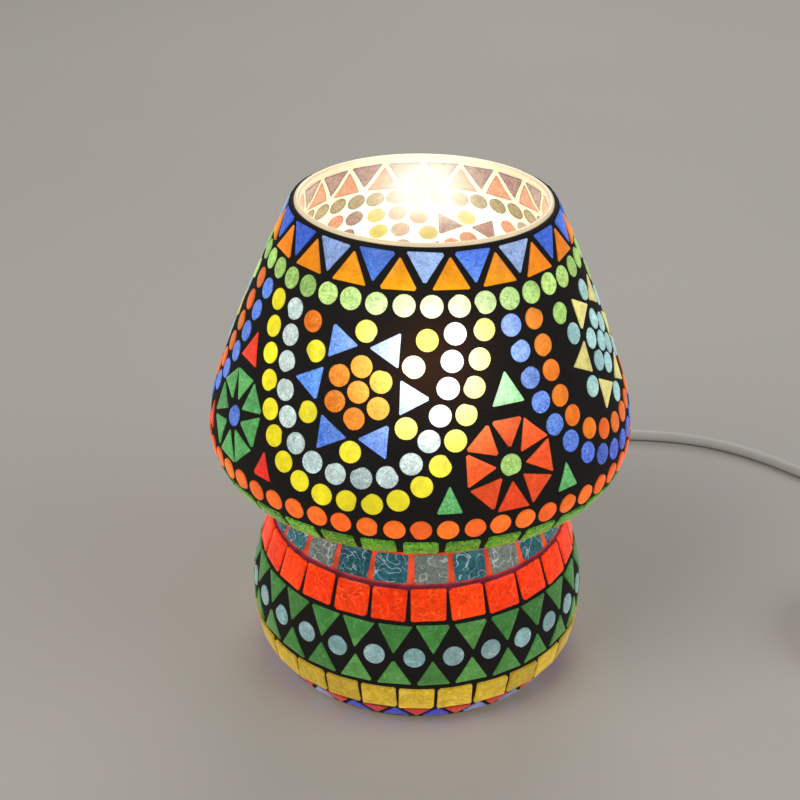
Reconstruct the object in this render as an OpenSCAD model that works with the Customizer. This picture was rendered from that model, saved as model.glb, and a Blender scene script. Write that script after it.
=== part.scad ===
// Mosaic glass table lamp: a blown mushroom-shaped vessel, dressed with
// flat glass tiles bedded in dark cement, with a small screw-cap bulb on
// a stem inside and a cord that leaves the foot at the back.
// Millimetres, +Z up, origin on the table under the vessel's axis, -Y is the front.

/* [Vessel] */
// Radius of the finished rim around the open top
rim_r = 45.6; // [44:0.1:47]
// Height of the rim above the table
rim_h = 180; // [178:0.5:182]
// Radius of the shade at its widest line
widest_r = 76; // [75:0.1:77]
// Radius of the waist between shade and base
neck_r = 50; // [49:0.5:51]
// Radius of the base at its belly
belly_r = 62.3; // [62:0.1:63]
// Radius of the foot
foot_r = 54.6; // [54:0.1:55]
// Thickness of the blown glass wall
glass_t = 2.2; // [2:0.1:2.6]
// Thickness of the cement bed between glass and tiles
bed_t = 0.7; // [0.6:0.1:1]

/* [Tiles] */
// Thickness of the flat glass tiles
tile_t = 2.2; // [2:0.1:2.6]
// Diameter of the round tiles
disc_d = 7.5; // [7:0.1:7.8]
// Side of the triangles in the stars
star_side = 11.3; // [10.5:0.1:11.5]
// How far hand-laid tiles wander from their places
wander = 0.22; // [0:0.02:0.3]

/* [Bulb and holder] */
// Height of the bulb's contact tip above the table
bulb_tip_h = 57; // [56:0.5:58]
// Diameter of the bulb's globe
globe_d = 45; // [43:1:46]
// Length of the bulb from tip to crown
bulb_len = 78; // [77:0.5:80]
// Outer radius of the lampholder
holder_r = 14; // [13.5:0.1:14.5]

/* [Cord] */
// Diameter of the round cord
cord_d = 5; // [4.6:0.1:5]
// Height of the cord's way out of the base
exit_h = 14.8; // [14.5:0.1:15]

/* [Hidden] */
$fn = 48;

// ---- Outline of the finished surface: radius and height, from rim to foot ----

foot_h = 1.5;
neck_h = 70.5;
outline_keys = [
    [rim_r, rim_h],
    [widest_r - 18.1, 153],
    [widest_r - 6.8, 124.8],
    [widest_r - 0.4, 103],
    [widest_r - 0.1, 94.5],
    [widest_r - 5.2, 83.5],
    [neck_r + 8, neck_h + 5],
    [neck_r, neck_h],
    [neck_r + 2.3, neck_h - 5.5],
    [belly_r - 4.6, 50.3],
    [belly_r - 0.3, 35.5],
    [belly_r, 24],
    [belly_r - 1.7, 12],
    [foot_r, foot_h],
];
last_key = len(outline_keys) - 1;
steps_per_key = 4;

function chord(i) = norm(outline_keys[i + 1] - outline_keys[i]);
function heading(i) = (outline_keys[i + 1] - outline_keys[i]) / chord(i);
// Unit-speed tangent at a key, weighted so that the nearer neighbour counts more
function tangent(i) =
    i == 0 ? heading(0)
    : i == last_key ? heading(last_key - 1)
    : (heading(i - 1) * chord(i) + heading(i) * chord(i - 1)) / (chord(i) + chord(i - 1));
// Cubic between key i and the next one
function between_keys(i, t) =
    (2 * pow(t, 3) - 3 * pow(t, 2) + 1) * outline_keys[i]
    + (pow(t, 3) - 2 * pow(t, 2) + t) * tangent(i) * chord(i)
    + (3 * pow(t, 2) - 2 * pow(t, 3)) * outline_keys[i + 1]
    + (pow(t, 3) - pow(t, 2)) * tangent(i + 1) * chord(i);
outline = concat(
    [for (i = [0:last_key - 1], j = [0:steps_per_key - 1]) between_keys(i, j / steps_per_key)],
    [outline_keys[last_key]]
);
radius_table = [for (p = outline) [p[1], p[0]]];
function radius_at(h) = lookup(h, radius_table);

// How far the wall's outward normal points above the horizontal, in degrees
slope_reach = 1.2;
function lean_at(h) =
    let (top = min(h + slope_reach, rim_h), low = max(h - slope_reach, foot_h))
    atan2(radius_at(low) - radius_at(top), top - low);
// A point of the wall's section, sunk by a depth below the finished surface
function sunk(h, depth) =
    [radius_at(h) - depth * cos(lean_at(h)), h - depth * sin(lean_at(h))];
function sunk_line(heights, depth) = [for (h = heights) sunk(h, depth)];
function reversed(list) = [for (i = [len(list) - 1:-1:0]) list[i]];

// Distance along the section from the foot, against height, and back again
function walk(i) = i == len(outline) - 1 ? 0 : walk(i + 1) + norm(outline[i] - outline[i + 1]);
walk_table = [for (i = [0:len(outline) - 1]) [outline[i][1], walk(i)]];
height_table = [for (w = walk_table) [w[1], w[0]]];
function walk_at(h) = lookup(h, walk_table);
function height_at(distance) = lookup(distance, height_table);

glue_gap = 0.15;
bed_depth = tile_t + glue_gap;
glass_depth = bed_depth + bed_t;
inner_depth = glass_depth + glass_t;
bond_gap = 0.2;
cement_depth = glass_depth - bond_gap;
heights = [for (p = outline) p[1]];
shade_heights = [for (h = heights) if (h >= neck_h - 0.01) h];
base_heights = [for (h = heights) if (h <= neck_h + 0.01) h];

// ---- Placing things on the wall ----

deg_per_rad = 180 / PI;
disc_fn = 24;

// Draws children on the wall: x runs to the right and y up the wall, from
// the wall's point at an azimuth (0 at the front, plus to the right) and a height
module on_wall(azimuth, height, x = 0, y = 0, spin = 0) {
    h = height_at(walk_at(height) + y);
    turn = azimuth + x / radius_at(h) * deg_per_rad;
    rotate([0, 0, turn])
        translate([0, -radius_at(h), h])
            rotate([90 - lean_at(h), 0, 0])
                rotate([0, 0, spin])
                    children();
}

function nudge(seed) = wander * rands(-1, 1, 1, seed)[0];
function twist(seed) = 12 * nudge(seed + 500);

module slab() {
    translate([0, 0, -tile_t]) linear_extrude(height = tile_t) children();
}
module disc_tile(d = disc_d) {
    translate([0, 0, -tile_t]) cylinder(h = tile_t, d = d, $fn = disc_fn);
}
// Triangle with its base below its centre and its point up
module triangle_tile(base, tall) {
    slab() polygon([[-base / 2, -tall / 3], [base / 2, -tall / 3], [0, tall * 2 / 3]]);
}
module block_tile(wide, tall) {
    slab() square([wide, tall], center = true);
}

// A full ring of n places at one height; start is the first azimuth in steps
module ring(n, height, start = 0, seed = 0, stray = 1) {
    for (i = [0:n - 1])
        on_wall((i + start) * 360 / n, height, stray * nudge(seed + i), stray * nudge(seed + 100 + i),
                stray * twist(seed + i))
            children();
}

// ---- Motifs of the main field ----

// Two kinds of garland take turns around the lamp, a quarter turn apart
warm_centres = [-18.8, 161.2];
cool_centres = [71.2, 251.2];
// Flowers stand between them: [azimuth], beside the warm garlands
flower_offset = 42.1;
red_flowers = [for (a = warm_centres) a + flower_offset];
green_flowers = [for (a = warm_centres) a - flower_offset];

// Half of a U: a rounded bottom that turns slowly into an upright leg,
// which is drawn in a little towards its top
u_steps = 24;
function u_half(half_width, bowl, top, drawn_in) =
    [for (i = [0:u_steps])
        let (y = top * pow(i / u_steps, 2), lift = max(0, 1 - y / bowl))
        [half_width * pow(1 - lift * lift, 1 / 3) * (1 - drawn_in * pow(y / top, 3)), y]];
function run_length(line, i) = i == 0 ? 0 : run_length(line, i - 1) + norm(line[i] - line[i - 1]);
function at_run(line, distance, axis) =
    lookup(distance, [for (i = [0:len(line) - 1]) [run_length(line, i), line[i][axis]]]);
// Places of n discs, evenly spaced along the whole U, as [x, y]
function u_places(n, half_width, bowl, top, drawn_in) =
    let (line = u_half(half_width, bowl, top, drawn_in), whole = run_length(line, len(line) - 1))
    [for (i = [0:n - 1])
        let (distance = (2 * i / (n - 1) - 1) * whole)
        [sign(distance) * at_run(line, abs(distance), 0), at_run(line, abs(distance), 1)]];

garland_top_h = 155.8;
module garland(centres, n, half_width, bowl, bottom_h, drawn_in, seed) {
    places = u_places(n, half_width, bowl, walk_at(garland_top_h) - walk_at(bottom_h), drawn_in);
    for (c = [0:len(centres) - 1], i = [0:n - 1])
        on_wall(centres[c], bottom_h, places[i][0] + nudge(seed + 40 * c + i),
                places[i][1] + nudge(seed + 200 + 40 * c + i))
            disc_tile();
}

star_h = 137.2;
rosette_r = 8.35;
point_r = 17;
dot_r = 19.5;
module around(centres, height, n, radius, first, seed = 0, spin = 0) {
    for (c = [0:len(centres) - 1], i = [0:n - 1])
        let (a = first + i * 360 / n)
        on_wall(centres[c], height, radius * cos(a) + nudge(seed + 20 * c + i),
                radius * sin(a) + nudge(seed + 50 + 20 * c + i), spin ? a - 90 : 0)
            children();
}
module rosette(centres, seed) {
    around(centres, star_h, 1, 0, 0, seed) disc_tile();
    around(centres, star_h, 6, rosette_r, 30, seed + 7) disc_tile();
}
module star_points(centres, seed) {
    around(centres, star_h, 6, point_r, 0, seed, 1)
        triangle_tile(star_side, star_side * sqrt(3) / 2);
}
module star_dots(centres, seed) {
    around(centres, star_h, 6, dot_r, 30, seed) disc_tile();
}
corner_x = 19.8;
corner_y = 18.4;
module corner_dots(centres, seed) {
    for (c = [0:len(centres) - 1], side = [-1, 1])
        on_wall(centres[c], star_h, side * corner_x + nudge(seed + c), corner_y + side * nudge(seed + 9))
            disc_tile();
}

flower_h = 114.7;
petal_tip_r = 5.3;
petal_edge_r = 15.15;
petal_w = 11.3;
petal_long = petal_edge_r - petal_tip_r;
petal_mid_r = petal_tip_r + petal_long * 2 / 3;
module petals(centres, seed) {
    around(centres, flower_h, 8, petal_mid_r, 0, seed, 1)
        rotate([0, 0, 180]) triangle_tile(petal_w, petal_long);
}
module hearts(centres, seed) {
    around(centres, flower_h, 1, 0, 0, seed) disc_tile();
}
upper_gap_h = 136.6;
lower_gap_h = 104.4;
lower_gap_x = 21.6;
module gap_triangles(centres, seed) {
    for (c = [0:len(centres) - 1]) {
        on_wall(centres[c] + 1.2 * sign(seed), upper_gap_h, 0, nudge(abs(seed) + c))
            triangle_tile(11.6, 10.8);
        for (side = [-1, 1])
            on_wall(centres[c], lower_gap_h, side * lower_gap_x) triangle_tile(8.6, 9.4);
    }
}

// ---- Vessel and cement ----

// The lip flares over the cement and ends in a round bead
lip_bead_r = 1.05;
lip_centre = [rim_r - 2.6, rim_h - 0.2];
lip_gap = 0.25;
neck_below_lip = 3;
function round_lip(from, to, radius) =
    [for (a = [from:-15:to]) lip_centre + radius * [cos(a), sin(a)]];
plate_t = 1.2;
flange_h = foot_h + plate_t;
flange_t = 2.6;
flange_r = 40;
grommet_r = 4.2;

module cord_way(radius) {
    translate([0, belly_r - 12, exit_h]) rotate([-90, 0, 0]) cylinder(h = 24, r = radius);
}

module glass_body() {
    color([0.92, 0.93, 0.88]) difference() {
        rotate_extrude($fn = 96) polygon(concat(
            round_lip(205, -80, lip_bead_r),
            sunk_line([for (h = heights) if (h < rim_h - neck_below_lip) h], glass_depth),
            [[flange_r + 10.4, flange_h], [flange_r, flange_h], [flange_r, flange_h + flange_t],
             [flange_r + 6, flange_h + flange_t]],
            reversed(sunk_line([for (h = heights) if (h < rim_h - neck_below_lip && h > foot_h + 2) h], inner_depth))
        ));
        cord_way(grommet_r);
    }
}

rim_edge = 0.75;
rim_bevel = 0.35;
module grout_shade() {
    color([0.09, 0.08, 0.07]) rotate_extrude($fn = 96) polygon(concat(
        [sunk(rim_h - rim_bevel, 0), sunk(rim_h - rim_edge, 0), sunk(rim_h - rim_edge, bed_depth)],
        sunk_line([for (h = shade_heights) if (h < rim_h - neck_below_lip) h], bed_depth),
        reversed(sunk_line([for (h = shade_heights) if (h < rim_h - neck_below_lip) h], cement_depth)),
        reversed(round_lip(10, -65, lip_bead_r + lip_gap))
    ));
}

module grout_base() {
    color([0.09, 0.08, 0.07]) difference() {
        rotate_extrude($fn = 96) polygon(concat(
            sunk_line(base_heights, bed_depth),
            [[foot_r - 2.2, foot_h], [foot_r - 4, foot_h], [flange_r + 10.9, flange_h]],
            reversed(sunk_line(base_heights, cement_depth))
        ));
        cord_way(grommet_r);
    }
}

// ---- Rows of tiles, from the rim down ----

rim_pairs = 19;
rim_side = 12.2;
rim_tall = 10.4;
module rim_blue_triangles() {
    color([0.28, 0.42, 0.82]) ring(rim_pairs, 175.8, 0, 1, 0.7)
        rotate([0, 0, 180]) triangle_tile(rim_side, rim_tall);
}
module rim_orange_triangles() {
    color([0.93, 0.5, 0.08]) ring(rim_pairs, 171.3, 0.5, 30, 0.6) triangle_tile(rim_side, rim_tall);
}

collar_n = 38;
module lime_discs() {
    color([0.62, 0.82, 0.36]) {
        ring(collar_n, 163.6, 0.25, 60) disc_tile();
        corner_dots(cool_centres, 3);
        hearts(red_flowers, 5);
    }
}

module yellow_garland_discs() {
    color([0.96, 0.92, 0.1]) garland(warm_centres, 19, 38.3, 53, 103.4, 0.01, 11);
}
module white_garland_discs() {
    color([0.84, 0.9, 0.88]) garland(warm_centres, 16, 28.8, 34, 111.6, 0.01, 12);
}
module blue_discs() {
    color([0.2, 0.36, 0.8]) {
        garland(cool_centres, 20, 43.5, 39, 103.3, 0.05, 13);
        hearts(green_flowers, 6);
    }
}
module orange_garland_discs() {
    color([0.93, 0.42, 0.1]) garland(cool_centres, 17, 34.1, 23, 111.75, 0.06, 14);
}

module orange_star_discs() {
    color([0.93, 0.5, 0.12]) {
        rosette(warm_centres, 21);
        corner_dots(warm_centres, 22);
    }
}
module blue_star_triangles() {
    color([0.36, 0.58, 0.9]) star_points(warm_centres, 23);
}
module yellow_star_discs() {
    color([0.95, 0.86, 0.2]) star_dots(warm_centres, 24);
}
module teal_star_discs() {
    color([0.68, 0.86, 0.84]) {
        rosette(cool_centres, 25);
        star_dots(cool_centres, 26);
    }
}
module cream_star_triangles() {
    color([0.86, 0.82, 0.5]) star_points(cool_centres, 27);
}

module red_flower_petals() {
    color([0.88, 0.26, 0.08]) petals(red_flowers, 31);
}
module green_flower_petals() {
    color([0.24, 0.55, 0.26]) petals(green_flowers, 32);
}
module green_gap_triangles() {
    color([0.36, 0.68, 0.36]) gap_triangles(red_flowers, 33);
}
module red_gap_triangles() {
    color([0.86, 0.16, 0.1]) gap_triangles(green_flowers, -34);
}

girdle_n = 54;
module girdle_orange_discs() {
    color([0.93, 0.42, 0.08]) ring(girdle_n, 94.9, 0, 300, 0.8) disc_tile();
}
underside_n = 33;
module underside_green_blocks() {
    color([0.34, 0.5, 0.2]) ring(underside_n, 86, 0, 400, 0.8) block_tile(11.4, 7.6);
}

// Teal and clear squares take irregular turns around the top of the base,
// and clear ones alone line the hidden part of the shade's underside
neck_n = 24;
clear_n = 26;
function is_clear(i) = (i * 5) % 8 < 3;
module neck_row(clear) {
    for (i = [0:neck_n - 1])
        if (is_clear(i) == clear)
            on_wall((i + 0.3) * 360 / neck_n, 64.2, nudge(450 + i)) block_tile(11.4, 9.8);
}
module neck_teal_blocks() {
    color([0.2, 0.42, 0.44]) neck_row(false);
}
module neck_clear_blocks() {
    color([0.5, 0.54, 0.5]) {
        neck_row(true);
        ring(clear_n, 78.6, 0, 480, 0.6) block_tile(10.6, 8.6);
    }
}

shoulder_n = 26;
module shoulder_orange_squares() {
    color([0.95, 0.28, 0.02]) ring(shoulder_n, 52.3, 0.25, 520, 0.9) block_tile(12.1, 11.4);
}

belly_n = 28;
green_base = 12.2;
green_tall = 10.6;
module belly_green_triangles() {
    color([0.34, 0.5, 0.26]) {
        ring(belly_n, 42, 0.4, 560, 0.9) rotate([0, 0, 180]) triangle_tile(green_base, green_tall);
        ring(belly_n, 25.4, 0.4, 600, 0.9) triangle_tile(green_base, green_tall);
    }
}
module belly_pale_discs() {
    color([0.48, 0.56, 0.54]) ring(belly_n, 33.7, 0.9, 640, 0.9) disc_tile(7.8);
}

// One block is left out at the back, where the cord comes through
module skirt_amber_blocks() {
    color([0.72, 0.56, 0.08])
        for (i = [0:belly_n - 1])
            if (i != belly_n / 2)
                on_wall(i * 360 / belly_n, 14.9, nudge(680 + i), nudge(710 + i), twist(680 + i))
                    block_tile(12.3, 9.8);
}

foot_pairs = 24;
foot_side = 10.2;
foot_tall = 7.6;
module foot_red_triangles() {
    color([0.6, 0.12, 0.06]) ring(foot_pairs, 6.2, 0, 740, 0.4)
        rotate([0, 0, 180]) triangle_tile(foot_side, foot_tall);
}
module foot_blue_triangles() {
    color([0.2, 0.26, 0.6]) ring(foot_pairs, 4.5, 0.5, 770, 0.4) triangle_tile(foot_side, foot_tall);
}

// ---- Foot, plate and stem ----

plate_r = 48;
dish_r = 14;
dish_h = 8;
stem_r = 5;
stem_bore_r = 3.6;
stem_low = 3.6;
holder_low = 34.5;
cap_floor = 3;
bar_t = 1.5;
nut_af = 14;
nut_t = 3;
washer_t = 1;
loose = 0.06;

module felt_foot() {
    color([0.16, 0.16, 0.17]) difference() {
        cylinder(h = foot_h, r = plate_r, $fn = 72);
        translate([0, 0, -1]) cylinder(h = foot_h + 2, r = dish_r + 6);
    }
}

module base_plate() {
    color([0.55, 0.55, 0.56]) rotate_extrude($fn = 72) polygon([
        [stem_r + loose, dish_h], [dish_r - 1.5, dish_h], [dish_r + 3.5, foot_h], [plate_r, foot_h],
        [plate_r, foot_h + plate_t], [dish_r + 4.2, foot_h + plate_t],
        [dish_r - 0.8, dish_h + plate_t], [stem_r + loose, dish_h + plate_t],
    ]);
}

// A strap that hooks over the glass flange on both sides
bar_half = 45.5;
bar_w = 13;
bar_end_h = flange_h + flange_t;
bar_mid_h = dish_h + plate_t;
module cross_bar() {
    color([0.6, 0.6, 0.6]) difference() {
        translate([0, bar_w / 2, 0]) rotate([90, 0, 0]) linear_extrude(height = bar_w) polygon(concat(
            [[-bar_half, bar_end_h], [-24, bar_end_h], [-18, bar_mid_h], [18, bar_mid_h],
             [24, bar_end_h], [bar_half, bar_end_h]],
            [[bar_half, bar_end_h + bar_t], [24.6, bar_end_h + bar_t], [18.6, bar_mid_h + bar_t],
             [-18.6, bar_mid_h + bar_t], [-24.6, bar_end_h + bar_t], [-bar_half, bar_end_h + bar_t]]
        ));
        cylinder(h = 30, r = stem_r + loose);
    }
}

module stem_tube() {
    color([0.78, 0.7, 0.42]) difference() {
        translate([0, 0, stem_low]) cylinder(h = holder_low + cap_floor - stem_low, r = stem_r);
        cylinder(h = 60, r = stem_bore_r);
    }
}

washer_h = bar_mid_h + bar_t;
module nut(low) {
    translate([0, 0, low]) difference() {
        cylinder(h = nut_t, d = nut_af / cos(30), $fn = 6);
        translate([0, 0, -1]) cylinder(h = nut_t + 2, r = stem_r + loose);
    }
}
module stem_nuts() {
    color([0.75, 0.72, 0.6]) {
        nut(dish_h - nut_t);
        nut(washer_h + washer_t);
        nut(holder_low - nut_t);
    }
}
module stem_washer() {
    color([0.7, 0.7, 0.7]) difference() {
        translate([0, 0, washer_h]) cylinder(h = washer_t, r = 9);
        cylinder(h = 30, r = stem_r + loose);
    }
}

// ---- Lampholder ----

holder_wall = 1.6;
cap_top = 46;
skirt_top = bulb_tip_h + 25;
core_top = bulb_tip_h + 22.5;
core_low = cap_top - 1.5;
core_floor_top = bulb_tip_h - 3.4;
shell_in_r = 7.02;
shell_t = 0.4;
entry_r = cord_d / 2 + 0.1;
entry_h = 40.5;

module holder_cap() {
    color([0.93, 0.92, 0.88]) difference() {
        union() {
            translate([0, 0, holder_low]) cylinder(h = cap_top - holder_low, r = holder_r);
            translate([0, 0, cap_top]) cylinder(h = 3, r = holder_r - holder_wall - 0.1);
        }
        translate([0, 0, holder_low + cap_floor]) cylinder(h = 30, r = holder_r - 2 * holder_wall - 0.2);
        translate([0, 0, holder_low - 1]) cylinder(h = 10, r = stem_r + loose);
        translate([0, 0, entry_h]) rotate([-90, 0, 0]) cylinder(h = 30, r = entry_r);
    }
}
module holder_skirt() {
    color([0.94, 0.93, 0.9]) rotate_extrude($fn = 64) polygon([
        [holder_r - holder_wall, cap_top], [holder_r, cap_top], [holder_r - 0.6, cap_top + 12],
        [holder_r - 1.4, skirt_top - 2], [holder_r - 2.4, skirt_top], [10, skirt_top],
        [10, skirt_top - 2], [holder_r - holder_wall - 1.2, skirt_top - 3],
        [holder_r - holder_wall - 0.4, cap_top + 12],
    ]);
}
module holder_core() {
    color([0.9, 0.88, 0.82]) difference() {
        union() {
            translate([0, 0, core_low]) cylinder(h = core_floor_top - core_low, r = 10.4);
            translate([0, 0, core_floor_top]) cylinder(h = core_top - core_floor_top, r = 9.2);
        }
        translate([0, 0, core_floor_top - 0.01]) cylinder(h = 40, r = shell_in_r + shell_t);
        for (x = [-6, 6])
            translate([x, 0, core_low - 1]) cylinder(h = 4.5, r = 1.55, $fn = 24);
    }
}
module holder_screw_shell() {
    color([0.83, 0.68, 0.32]) difference() {
        translate([0, 0, core_floor_top + 2]) cylinder(h = core_top - core_floor_top - 2.3, r = shell_in_r + shell_t);
        translate([0, 0, core_floor_top]) cylinder(h = 40, r = shell_in_r);
    }
}
// Sprung tongue, bent up to the bulb's tip
module holder_contact() {
    color([0.85, 0.7, 0.35]) translate([0, 2, 0]) rotate([90, 0, 0]) linear_extrude(height = 4) polygon([
        [-5, core_floor_top], [-1.5, core_floor_top], [3, bulb_tip_h - 0.6], [3, bulb_tip_h - 0.1],
        [-0.6, bulb_tip_h - 0.1], [-5, core_floor_top + 0.5],
    ]);
}
module holder_terminal_screws() {
    color([0.8, 0.8, 0.78]) for (x = [-6, 6])
        translate([x, 0, core_low - 1.6]) {
            cylinder(h = 1.6, r = 2.4, $fn = 24);
            cylinder(h = 4.9, r = 1.5, $fn = 24);
        }
}

// ---- Bulb ----

cap_r = 6.94;
cap_low = bulb_tip_h + 2.5;
cap_skirt_h = bulb_tip_h + 23.4;
ridge_pitch = 2.82;
ridge_n = 6;
globe_r = globe_d / 2;
globe_h = bulb_tip_h + bulb_len - globe_r;
neck_glass_r = 7.7;
neck_glass_h = bulb_tip_h + 24;
envelope_t = 0.8;

module bulb_cap() {
    color([0.76, 0.76, 0.74]) rotate_extrude($fn = 64) polygon(concat(
        [[3.6, cap_low], [cap_r - 0.7, cap_low]],
        [for (i = [0:ridge_n - 1], side = [0, 1])
            [cap_r - 0.55 * side, cap_low + 0.8 + ridge_pitch * (i + side / 2)]],
        [[cap_r - 0.5, cap_skirt_h - 1.6], [8.3, cap_skirt_h], [8.3, cap_skirt_h + 2.8],
         [7.85, cap_skirt_h + 2.8], [7.85, cap_skirt_h + 0.2], [cap_r - 1, cap_skirt_h - 1.2],
         [cap_r - 1, cap_low + 0.4], [3.6, cap_low + 0.4]]
    ));
}
module bulb_tip() {
    color([0.16, 0.15, 0.15]) rotate_extrude($fn = 48) polygon([
        [0, bulb_tip_h], [1.6, bulb_tip_h], [2.3, bulb_tip_h + 0.6], [2.4, bulb_tip_h + 1],
        [5.2, cap_low], [0, cap_low],
    ]);
}

// Section of the envelope: the globe's arc, then a flowing neck
globe_turn = 132;
function envelope(inset) =
    let (r = globe_r - inset, leave = [r * sin(globe_turn), globe_h + r * cos(globe_turn)])
    concat(
        [for (a = [0:11:globe_turn]) [r * sin(a), globe_h + r * cos(a)]],
        [for (t = [0.25:0.25:1])
            let (foot = [neck_glass_r - inset, neck_glass_h + 3], knee = [neck_glass_r + 1.6 - inset, leave[1] - 5])
            (1 - t) * (1 - t) * leave + 2 * t * (1 - t) * knee + t * t * foot],
        [[neck_glass_r - inset, neck_glass_h]]
    );
module bulb_glass() {
    color([0.95, 0.93, 0.85]) rotate_extrude($fn = 64)
        polygon(concat(envelope(0), reversed(envelope(envelope_t))));
}

filament_n = 4;
filament_len = 26;
filament_low = globe_h - filament_len / 2 + 2;
wire_r = 0.35;
module bulb_stem() {
    color([0.9, 0.92, 0.92]) rotate_extrude($fn = 32) polygon([
        [0, neck_glass_h], [6, neck_glass_h], [4.2, neck_glass_h + 4], [2.4, neck_glass_h + 10],
        [1.2, neck_glass_h + 18], [1.2, globe_h + 14], [0, globe_h + 14],
    ]);
}
module bulb_filaments() {
    color([1, 0.85, 0.5]) for (i = [0:filament_n - 1])
        rotate([0, 0, 45 + i * 360 / filament_n]) {
            translate([6, 0, filament_low]) rotate([0, -9, 0])
                cylinder(h = filament_len, r = 0.9, $fn = 16);
            translate([0.8, 0, filament_low + 1]) rotate([0, 90, 0]) cylinder(h = 5, r = wire_r, $fn = 16);
            translate([0.8, 0, filament_low + filament_len - 1.5]) rotate([0, 90, 0])
                cylinder(h = 1.6, r = wire_r, $fn = 16);
        }
}

// ---- Cord ----

relief_len = 25;
grommet_face = belly_r - 0.8;
grommet_end = grommet_face + relief_len;

module cord_grommet() {
    color([0.88, 0.88, 0.86]) difference() {
        translate([0, 0, exit_h]) rotate([-90, 0, 0]) {
            translate([0, 0, grommet_face - 9]) cylinder(h = 9, r = grommet_r - 0.05);
            translate([0, 0, grommet_face]) cylinder(h = 2, r = 6);
            translate([0, 0, grommet_face + 2]) cylinder(h = relief_len - 2, r1 = 4.6, r2 = cord_d / 2 + 0.5);
        }
        translate([0, grommet_face - 10, exit_h]) rotate([-90, 0, 0])
            cylinder(h = relief_len + 12, r = cord_d / 2 + 0.02);
    }
}

// Sides of the tube, and the route points chosen along each free stretch
tube_sides = 10;
lie = cord_d / 2;
run_route = [
    [0, grommet_end, exit_h], [0, 93, 14.6], [1, 102, 13], [4, 112, 10], [10, 122, 6.4], [19, 131, 3.7],
    [30, 139, lie], [43, 145.5, lie], [57, 150, lie], [72, 153, lie], [87, 154.5, lie], [102, 155, lie],
    [117, 154, lie], [131, 151.5, lie], [144, 147, lie], [156, 140.5, lie], [167, 132.5, lie],
    [177, 123.5, lie], [187, 114.5, lie], [197, 106, lie], [206.5, 97, 2.9], [214, 88, 4],
    [218.6, 79.5, 5.8], [220, 74.5, 6.8], [220, 70, 7],
];
link_route = [[220, 18, 7], [220, 12, 6.6], [220, 4, 4.4], [220, -3, 2.9], [220, -8, lie]];
end_route = [[220, -8, 12.5], [220, -16, 12], [220, -24, 9.8], [220, -31, 7.6], [220, -36, 6.85]];
inside_route = [
    [0, grommet_face - 9.2, exit_h], [0, 46, 15.2], [0, 39, 18], [0, 33, 23], [0, 29, 29.5],
    [0, 25, 36], [0, 20, 39.8], [0, holder_r - 1.2, entry_h],
];

function unit(v) = v / norm(v);
function route_heading(route, i) =
    unit(route[min(i + 1, len(route) - 1)] - route[max(i - 1, 0)]);
// A ring of points square to the route at point i
function tube_ring(route, i, radius) =
    let (ahead = route_heading(route, i),
         right = unit(cross(ahead, abs(ahead[2]) > 0.9 ? [0, 1, 0] : [0, 0, 1])),
         up = cross(right, ahead))
    [for (k = [0:tube_sides - 1])
        let (a = 360 * (k + 0.5) / tube_sides)
        route[i] + radius * (cos(a) * right + sin(a) * up)];
module tube(route, radius) {
    count = len(route);
    points = [for (i = [0:count - 1]) each tube_ring(route, i, radius)];
    walls = [for (i = [0:count - 2], k = [0:tube_sides - 1])
        let (n = (k + 1) % tube_sides, a = i * tube_sides, b = a + tube_sides)
        each [[a + k, b + k, b + n], [a + k, b + n, a + n]]];
    first = [for (k = [0:tube_sides - 1]) k];
    last = [for (k = [tube_sides - 1:-1:0]) (count - 1) * tube_sides + k];
    polyhedron(points = points, faces = concat([first], walls, [last]), convexity = 8);
}

module cord_run() {
    color([0.9, 0.9, 0.88]) tube(run_route, cord_d / 2);
}
module cord_link() {
    color([0.9, 0.9, 0.88]) tube(link_route, cord_d / 2);
}
module cord_end() {
    color([0.9, 0.9, 0.88]) tube(end_route, cord_d / 2);
}
module cord_inside() {
    color([0.9, 0.9, 0.88]) tube(inside_route, cord_d / 2);
}
// Two bare-ended leads from the cord's end to the terminal screws
module inner_leads() {
    color([0.45, 0.3, 0.2]) for (side = [-1, 1])
        tube([[side * 1.1, holder_r - 1.6, entry_h], [side * 1.2, 9.8, entry_h], [side * 3, 7, entry_h + 0.2],
              [side * 4.6, 4.6, entry_h + 0.9], [side * 6, 2.3, core_low - 2.6]], 0.75);
}

// Three columns and three layers of turns, with one place left empty
coil_centre = [187.5, -8];
coil_mid_r = 27.5;
coil_half = 1.5 * cord_d;
module cord_coil() {
    color([0.9, 0.9, 0.88]) translate(coil_centre) rotate_extrude($fn = 64)
        translate([coil_mid_r - coil_half, 0]) square([2 * coil_half, 3 * cord_d]);
}

// ---- In-line switch ----

switch_at = [220, 44, 0];
switch_len = 52;
switch_w = 24;
switch_part = 7;
switch_top = 14;
switch_wall = 2;
pivot_h = 11;
pivot_r = 1.2;
rest_tilt = 8;
screw_y = 19.5;

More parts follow.
